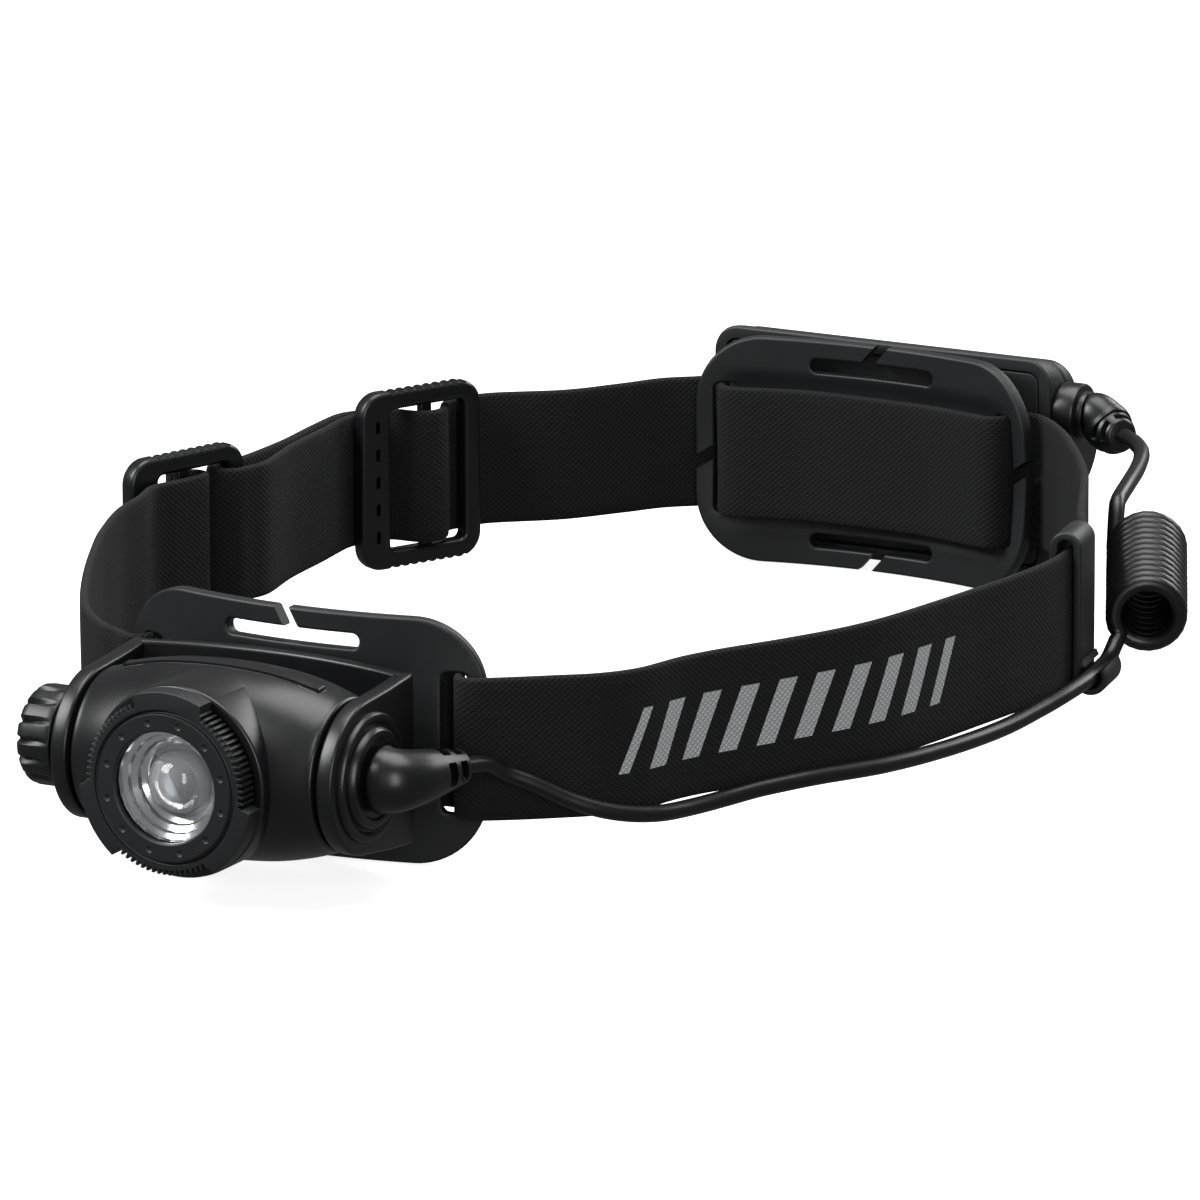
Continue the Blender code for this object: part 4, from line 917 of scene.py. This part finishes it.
def lamp_shell(name, node, front):
    """Half of the hollow housing, in front of the split or behind it."""
    body = barrel(0, HALF_LENGTH, 0.7)
    rib = barrel(0.4, 19.0, 0.4)
    carve(rib, block((-30, -23.6, 0), (30, -21.6, 30)), operation="INTERSECT")
    carve(body, hump(16.6, -38.6, 0.6), rib, operation="UNION")
    carve(body, barrel(-WALL, HALF_LENGTH - WALL, 0.3), hump(15.0, -50.0, 0.2))
    for side in (1, -1):
        ends = (17, 30) if side > 0 else (-30, -17)
        carve(body, turned(rod(BUSH_RADIUS, *ends), "X", PIVOT, 64))
    edge = SPLIT_Y + (-0.18 if front else 0.18)
    near, far = (edge, 60) if front else (-60, edge)
    carve(body, block((-30, near, -30), (30, far, 30)))
    return declare(to_model(body), name, "lamp", SATIN_PC, (node,), 32)


lamp_shell("lamp_front_shell", "lamp_housing_front", True)
lamp_shell("lamp_rear_shell", "lamp_housing_rear", False)
print("lamp shells made")

# %% [markdown]
# The focus ring has three smooth lugs with fine square teeth between them, and a flat face with a circle of
# small dimples. It is a toothed disc joined to a turned sleeve.

# %% Focus ring
LUGS, TEETH, LUG_SPAN = 3, 17, 25.0
LUG_RADIUS, TIP_RADIUS, ROOT_RADIUS = 16.5, 15.1, 14.2
FACING_FRONT = Matrix(((1, 0, 0, 0), (0, 0, -1, 0), (0, 1, 0, 0), (0, 0, 0, 1)))
toothed = []
pitch = (120 - 2 * LUG_SPAN) / TEETH
for lug in range(LUGS):
    middle = lug * 120 - 32
    toothed += arc((0, 0), LUG_RADIUS, middle - LUG_SPAN + 1.6, middle + LUG_SPAN - 1.6, 24)
    for tooth in range(TEETH):
        start = middle + LUG_SPAN + tooth * pitch
        toothed += arc((0, 0), ROOT_RADIUS, start + 0.02 * pitch, start + 0.42 * pitch, 1)
        toothed += arc((0, 0), TIP_RADIUS, start + 0.52 * pitch, start + 0.92 * pitch, 1)
disc = slab([toothed, arc((0, 0), 12.4, 0, 354, 59)], 4.0, 0.16,
            Matrix.Translation((0, -40.95, 0)) @ FACING_FRONT)
sleeve = turned([(12.9, -30.2), (12.9, -42.7), (12.6, -43.1), (9.9, -43.1), (9.65, -42.85), (9.65, -42.1),
                 (12.0, -41.7), (12.0, -30.2)], "Y", (0, 0, 0), 144)
groove = turned([(12.85, -43.6), (13.45, -43.6), (13.45, -42.5), (13.15, -42.3), (12.85, -42.5)], "Y",
                (0, 0, 0), 144)
work = bmesh.new()
for dot in range(12):
    a = math.radians(15 + 30 * dot)
    place = Matrix.Translation((11.3 * math.cos(a), -43.8, 11.3 * math.sin(a)))
    bmesh.ops.create_icosphere(work, subdivisions=3, radius=0.95, matrix=place)
mesh = bpy.data.meshes.new("dimples")
work.to_mesh(mesh)
work.free()
carve(disc, sleeve, operation="UNION")
carve(disc, groove, in_scene(mesh))
declare(to_model(disc), "focusing_ring", "focus", SPARK_NYLON, ("focus_ring",), 32)
print("focus ring with", LUGS * TEETH, "teeth")

# %% [markdown]
# The optic is a clear dome on a flange, in a bright cup of stepped facets.

# %% Optic
DOME_RADIUS, DOME_Y = 5.6, -36.9
dome = [(DOME_RADIUS * math.sin(a), DOME_Y - DOME_RADIUS * math.cos(a))
        for a in np.linspace(math.radians(95), 0.02, 24)]
lens = turned([(0.0, -32.4), (3.6, -32.4), (5.0, -34.6), (10.1, -34.6), (10.1, -36.2), (6.6, -36.5)] + dome
              + [(0.0, -42.5)], "Y", (0, 0, 0), 128)
declare(to_model(lens), "domed_lens", "lens", CLEAR_ACRYLIC, ("collimator_lens",), 30)
steps = [(10.15, -36.6), (10.15, -41.3), (9.7, -41.3), (9.5, -40.4), (8.7, -40.0), (8.5, -39.2), (7.6, -38.7),
         (7.3, -37.9), (6.5, -37.4), (6.4, -36.9)]
cup = turned(steps, "Y", (0, 0, 0), 24)
declare(to_model(cup), "faceted_cup", "lens", METALLISED, ("reflector_cup",), 12)
print("lens and cup made")

# %% [markdown]
# The dimmer knob is soft rubber over a hard core. Its radius at each angle is the profile's radius less a
# V-shaped flute, and the flutes deepen towards the rounded outer end.

# %% Dimmer knob
KNOB_PROFILE = [
    (7.6, 0.0), (8.2, 0.15), (8.3, 0.7), (7.9, 0.85), (7.9, 1.2), (8.5, 1.35), (8.65, 1.6), (8.7, 2.6),
    (8.7, 4.0), (8.7, 5.4), (8.7, 6.3), (8.6, 7.0), (8.3, 7.5), (7.8, 7.95), (7.1, 8.2), (6.3, 8.3),
    (5.9, 8.1), (2.5, 7.95),
]
KNOB_FACE_X = -28.9
STEPS_PER_FLUTE = 24
FLUTES = 15
rings = []
for radius, height in KNOB_PROFILE:
    depth = (0.35 + 0.95 * ease(height, 3.0, 8.0)) * ease(height, 1.7, 2.6) * ease(radius, 6.0, 7.2)
    ring = []
    for side in range(FLUTES * STEPS_PER_FLUTE):
        a = 2 * math.pi * side / (FLUTES * STEPS_PER_FLUTE)
        across = abs((side % STEPS_PER_FLUTE) - STEPS_PER_FLUTE / 2) / (STEPS_PER_FLUTE / 2)
        cut = radius - depth * max(0.0, 1 - across / 0.4)
        ring.append((KNOB_FACE_X - height, PIVOT[1] + cut * math.sin(a), cut * math.cos(a)))
    rings.append(ring)
piece("fluted_knob", *skin(rings), "dimmer", "rubber", SATIN_RUBBER, ("dimmer_knob",), 34)
print("knob with", FLUTES, "flutes")

# %% [markdown]
# ## The bracket
# Two flat ears and a back that bends to meet the front plate, each a slab with rounded edges, joined, with
# stepped round bosses on the outside of the ears.

# %% Lamp bracket
EAR_RADIUS = 13.3
BACK_BEND = 75.0
BOSS_FACE_X = 27.2
BOSS_LINES = (
    (1, [(11.2, -1.0), (11.1, 0.5), (10.8, 0.9), (10.3, 1.05), (9.5, 1.0), (9.1, 0.7), (8.8, 0.7), (8.6, 1.4),
         (8.2, 1.85), (7.6, 2.0), (7.0, 1.9), (6.7, 1.5), (0, 1.5), (0, -1.0)]),
    (-1, [(11.2, -1.0), (10.9, 0.35), (10.5, 0.5), (9.2, 0.6), (8.9, 0.9), (8.4, 1.05), (0, 1.05), (0, -1.0)]),
)
SIDEWAYS = Matrix(((0, 0, 1, 0), (1, 0, 0, 0), (0, 1, 0, 0), (0, 0, 0, 1)))
ear_line = arc((PIVOT[1], 0), EAR_RADIUS, -95.2, -264.8, 60)
ear_line += [(-14.0, 13.75), (-7.6, 14.4), (-6.0, 14.5), (-5.5, 14.0), (-5.5, -14.6), (-6.2, -15.2),
             (-14.0, -14.4)]
bracket = slab([rounded_rectangle(54.4, 29.8, 1.2, 6)], 2.3, 0.6)
strip_edges(bracket, 0, -26.5, 26.6, 1.5)
for vertex in bracket.data.vertices:
    x, z, depth = vertex.co
    a = x / BACK_BEND
    r = BACK_BEND - 1.15 + depth
    vertex.co = (r * math.sin(a), -76.2 + r * math.cos(a), z - 0.4)
tidy_normals(bracket)
ears = [slab([ear_line], 3.1, 0.6, Matrix.Translation((side * 25.65, 0, 0)) @ SIDEWAYS) for side in (1, -1)]
pad = slab([rounded_rectangle(25, 18, 2.5, 6)], 2.4, 0.2, Matrix.Translation((0, -1.5, 0)) @ FACING_FRONT)
bosses = [turned([(r, side * (BOSS_FACE_X + x)) for r, x in line], "X", PIVOT, 120)
          for side, line in BOSS_LINES]
carve(bracket, *ears, pad, *bosses, operation="UNION")
holes = [turned(rod(BUSH_RADIUS, side * 20, side * 33), "X", PIVOT, 64) for side in (1, -1)]
holes += [turned(rod(1.5, -12, 4), "Y", (side * 8.0, 0, 0), 32) for side in (1, -1)]
carve(bracket, *holes)
declare(to_model(bracket), "tilt_bracket", "headband", SATIN_PC, ("lamp_bracket",), 34)
print("bracket made, its back bent to a radius of", BACK_BEND, "mm")

# %% [markdown]
# ## The battery pack
# An open frame with a flush panel stands against the rear plate. Behind it, a cover with soft edges swells
# over the single round cell, and a collar at its end takes the cable's plug.

# %% Battery pack
PACK = {"width": 69.6, "height": 41.8, "middle": 0.7}
LIP_RADIUS = 0.6
CELL_PLACE = (0, 235.2, 4.0)
CELL_ROOM = (9.45, -33.2, 33.2)


def on_pack(y):
    """Stand a flat drawing up behind the rear plate, at this Y."""
    return Matrix.Translation((0, y, PACK["middle"])) @ FACING_FRONT


def pack_loft(sections):
    """A solid through rounded rectangles, each (inset at top and bottom, height, Y)."""
    rings = []
    for inset, height, y in sections:
        outline = rounded_rectangle(PACK["width"] - 0.5 * inset, height - 2 * inset, 4.9 - 0.3 * inset, 12)
        rings.append([(x, y, z + PACK["middle"]) for x, z in outline])
    return solid(*skin(rings))


lip = [(LIP_RADIUS * (1 - math.sin(a)), PACK["height"], 224.0 - LIP_RADIUS * math.cos(a))
       for a in np.linspace(0, math.pi / 2, 5)]
pack_frame = pack_loft(lip + [(0, 41.5, 225.0), (0, 40.9, 226.4), (0, 39.9, 228.2), (0, 38.6, 230.0),
                              (0.3, 38.4, 230.4)])
opening = slab([rounded_rectangle(PACK["width"] - 4.6, PACK["height"] - 4.6, 2.2, 8)], 3.2, 0.05,
               on_pack(223.4))
behind = slab([rounded_rectangle(PACK["width"] - 6.0, 34.2, 1.5, 8)], 4.0, 0.05, on_pack(230.8))
carve(pack_frame, opening, behind, turned(rod(*CELL_ROOM), "X", CELL_PLACE, 96))
declare(to_model(pack_frame), "pack_frame", "headband", SPARK_NYLON,
        ("battery_case_front",), 38)
panel = slab([rounded_rectangle(PACK["width"] - 5.4, PACK["height"] - 5.4, 1.9, 8)], 0.9, 0.3, on_pack(224.2))
declare(to_model(panel), "pack_panel", "headband", SPARK_NYLON, ("battery_case_panel",), 38)
print("pack frame and panel made")

# %% Pack cover and plug collar
COVER_HEIGHT, COVER_FRONT, COVER_BACK = 38.2, 230.75, 236.15
COVER_EDGE = 4.4
SWELL_RADIUS, SWELL_EDGE = 10.4, 1.8
CONTACT_Z = -10.7
PLUG_PLACE = (229.4, 10.9)
COLLAR_LINE = [(0, 5.0), (4.2, 5.0), (4.3, 4.8), (4.3, 3.9), (5.1, 3.85), (5.5, 3.7), (5.7, 3.3), (5.7, 0.0),
               (0, 0)]

quarter = np.linspace(0, math.pi / 2, 10)
cover = pack_loft([(0.3, COVER_HEIGHT, COVER_FRONT), (0, COVER_HEIGHT, COVER_FRONT + 0.3)] + [
    (COVER_EDGE * (1 - math.cos(a)), COVER_HEIGHT, COVER_BACK - COVER_EDGE * (1 - math.sin(a)))
    for a in quarter])
half = PACK["width"] / 2
inner, corner = SWELL_RADIUS - SWELL_EDGE, half - SWELL_EDGE
quarter = np.linspace(0, math.pi / 2, 6)
bend = [(SWELL_EDGE * math.sin(a), SWELL_EDGE * math.cos(a)) for a in quarter]
swell = turned([(0, half)] + [(inner + a, corner + b) for a, b in bend]
               + [(inner + b, -corner - a) for a, b in bend] + [(0, -half)], "X", CELL_PLACE, 120)
carve(swell, block((-40, 210, -20), (40, COVER_FRONT, 30)))
carve(cover, swell, operation="UNION")
carve(cover, turned(rod(*CELL_ROOM), "X", CELL_PLACE, 96), block((-32.8, 229, -16.4), (32.8, 234.55, 17.8)),
      turned(rod(3.7, 233, 240), "Y", (0, 0, CONTACT_Z), 64))
declare(to_model(cover), "pack_cover", "headband", SPARK_NYLON, ("battery_case_rear",), 36)
collar = turned(COLLAR_LINE, "X", (half + 0.35, *PLUG_PLACE), 96)
declare(to_model(collar), "plug_collar", "headband", SATIN_PC, ("battery_socket",), 36)
print("pack cover and collar made")

# %% [markdown]
# ## Studio
# A wide pale floor and large soft lamps, as in a catalogue. Black plastic is drawn by what it mirrors, so
# the lamps are big and the floor is kept out of the mirror images, to leave the undersides deep black.

# %% Floor and lights
def softbox(name, place, aim, size, power):
    """A rectangular lamp at a place, turned to face a point."""
    data = bpy.data.lights.new(name, "AREA")
    data.shape = "RECTANGLE"
    data.size, data.size_y = size
    data.energy = power
    light = in_scene(data)
    light.location = Vector(place)
    light.rotation_euler = (Vector(aim) - Vector(place)).to_track_quat("-Z", "Y").to_euler()


FLOOR_SIZE = 30.0
floor_mesh = bpy.data.meshes.new("floor")
floor_corners = ((-1, -1), (1, -1), (1, 1), (-1, 1))
floor_mesh.from_pydata([(x * FLOOR_SIZE, y * FLOOR_SIZE, 0.0) for x, y in floor_corners], [], [(0, 1, 2, 3)])
floor = in_scene(floor_mesh, "studio_floor")
floor.location.z = -0.0002
floor_paint, floor_tree, floor_shader = new_finish("white_studio_paper")
fill(floor_tree, floor_shader, Base_Color=colour("#c4c4c4"), Roughness=1.0, Specular_IOR_Level=0.0,
     Emission_Color=colour("#ffffff"), Emission_Strength=0.86)
floor.data.materials.append(floor_paint)
floor.visible_glossy = False
floor.visible_diffuse = False

world = bpy.data.worlds.new("studio")
bpy.context.scene.world = world
world.use_nodes = True
fill(world.node_tree, world.node_tree.nodes["Background"], Color=colour("#ffffff"), Strength=0.17)
softbox("key_softbox_left", (-0.9, -0.9, 1.1), (0, 0, 0), (0.9, 0.9), 30)
softbox("top_softbox", (0.1, 0.2, 1.5), (0, 0, 0), (1.4, 1.0), 24)
softbox("front_strip", (0.9, -1.3, 0.5), (0, -0.05, 0), (0.35, 1.0), 9)
softbox("rear_rim", (0.5, 1.4, 0.8), (0, 0.1, 0), (1.2, 0.5), 12)
bpy.context.scene.view_settings.view_transform = "Standard"
print("studio lit")
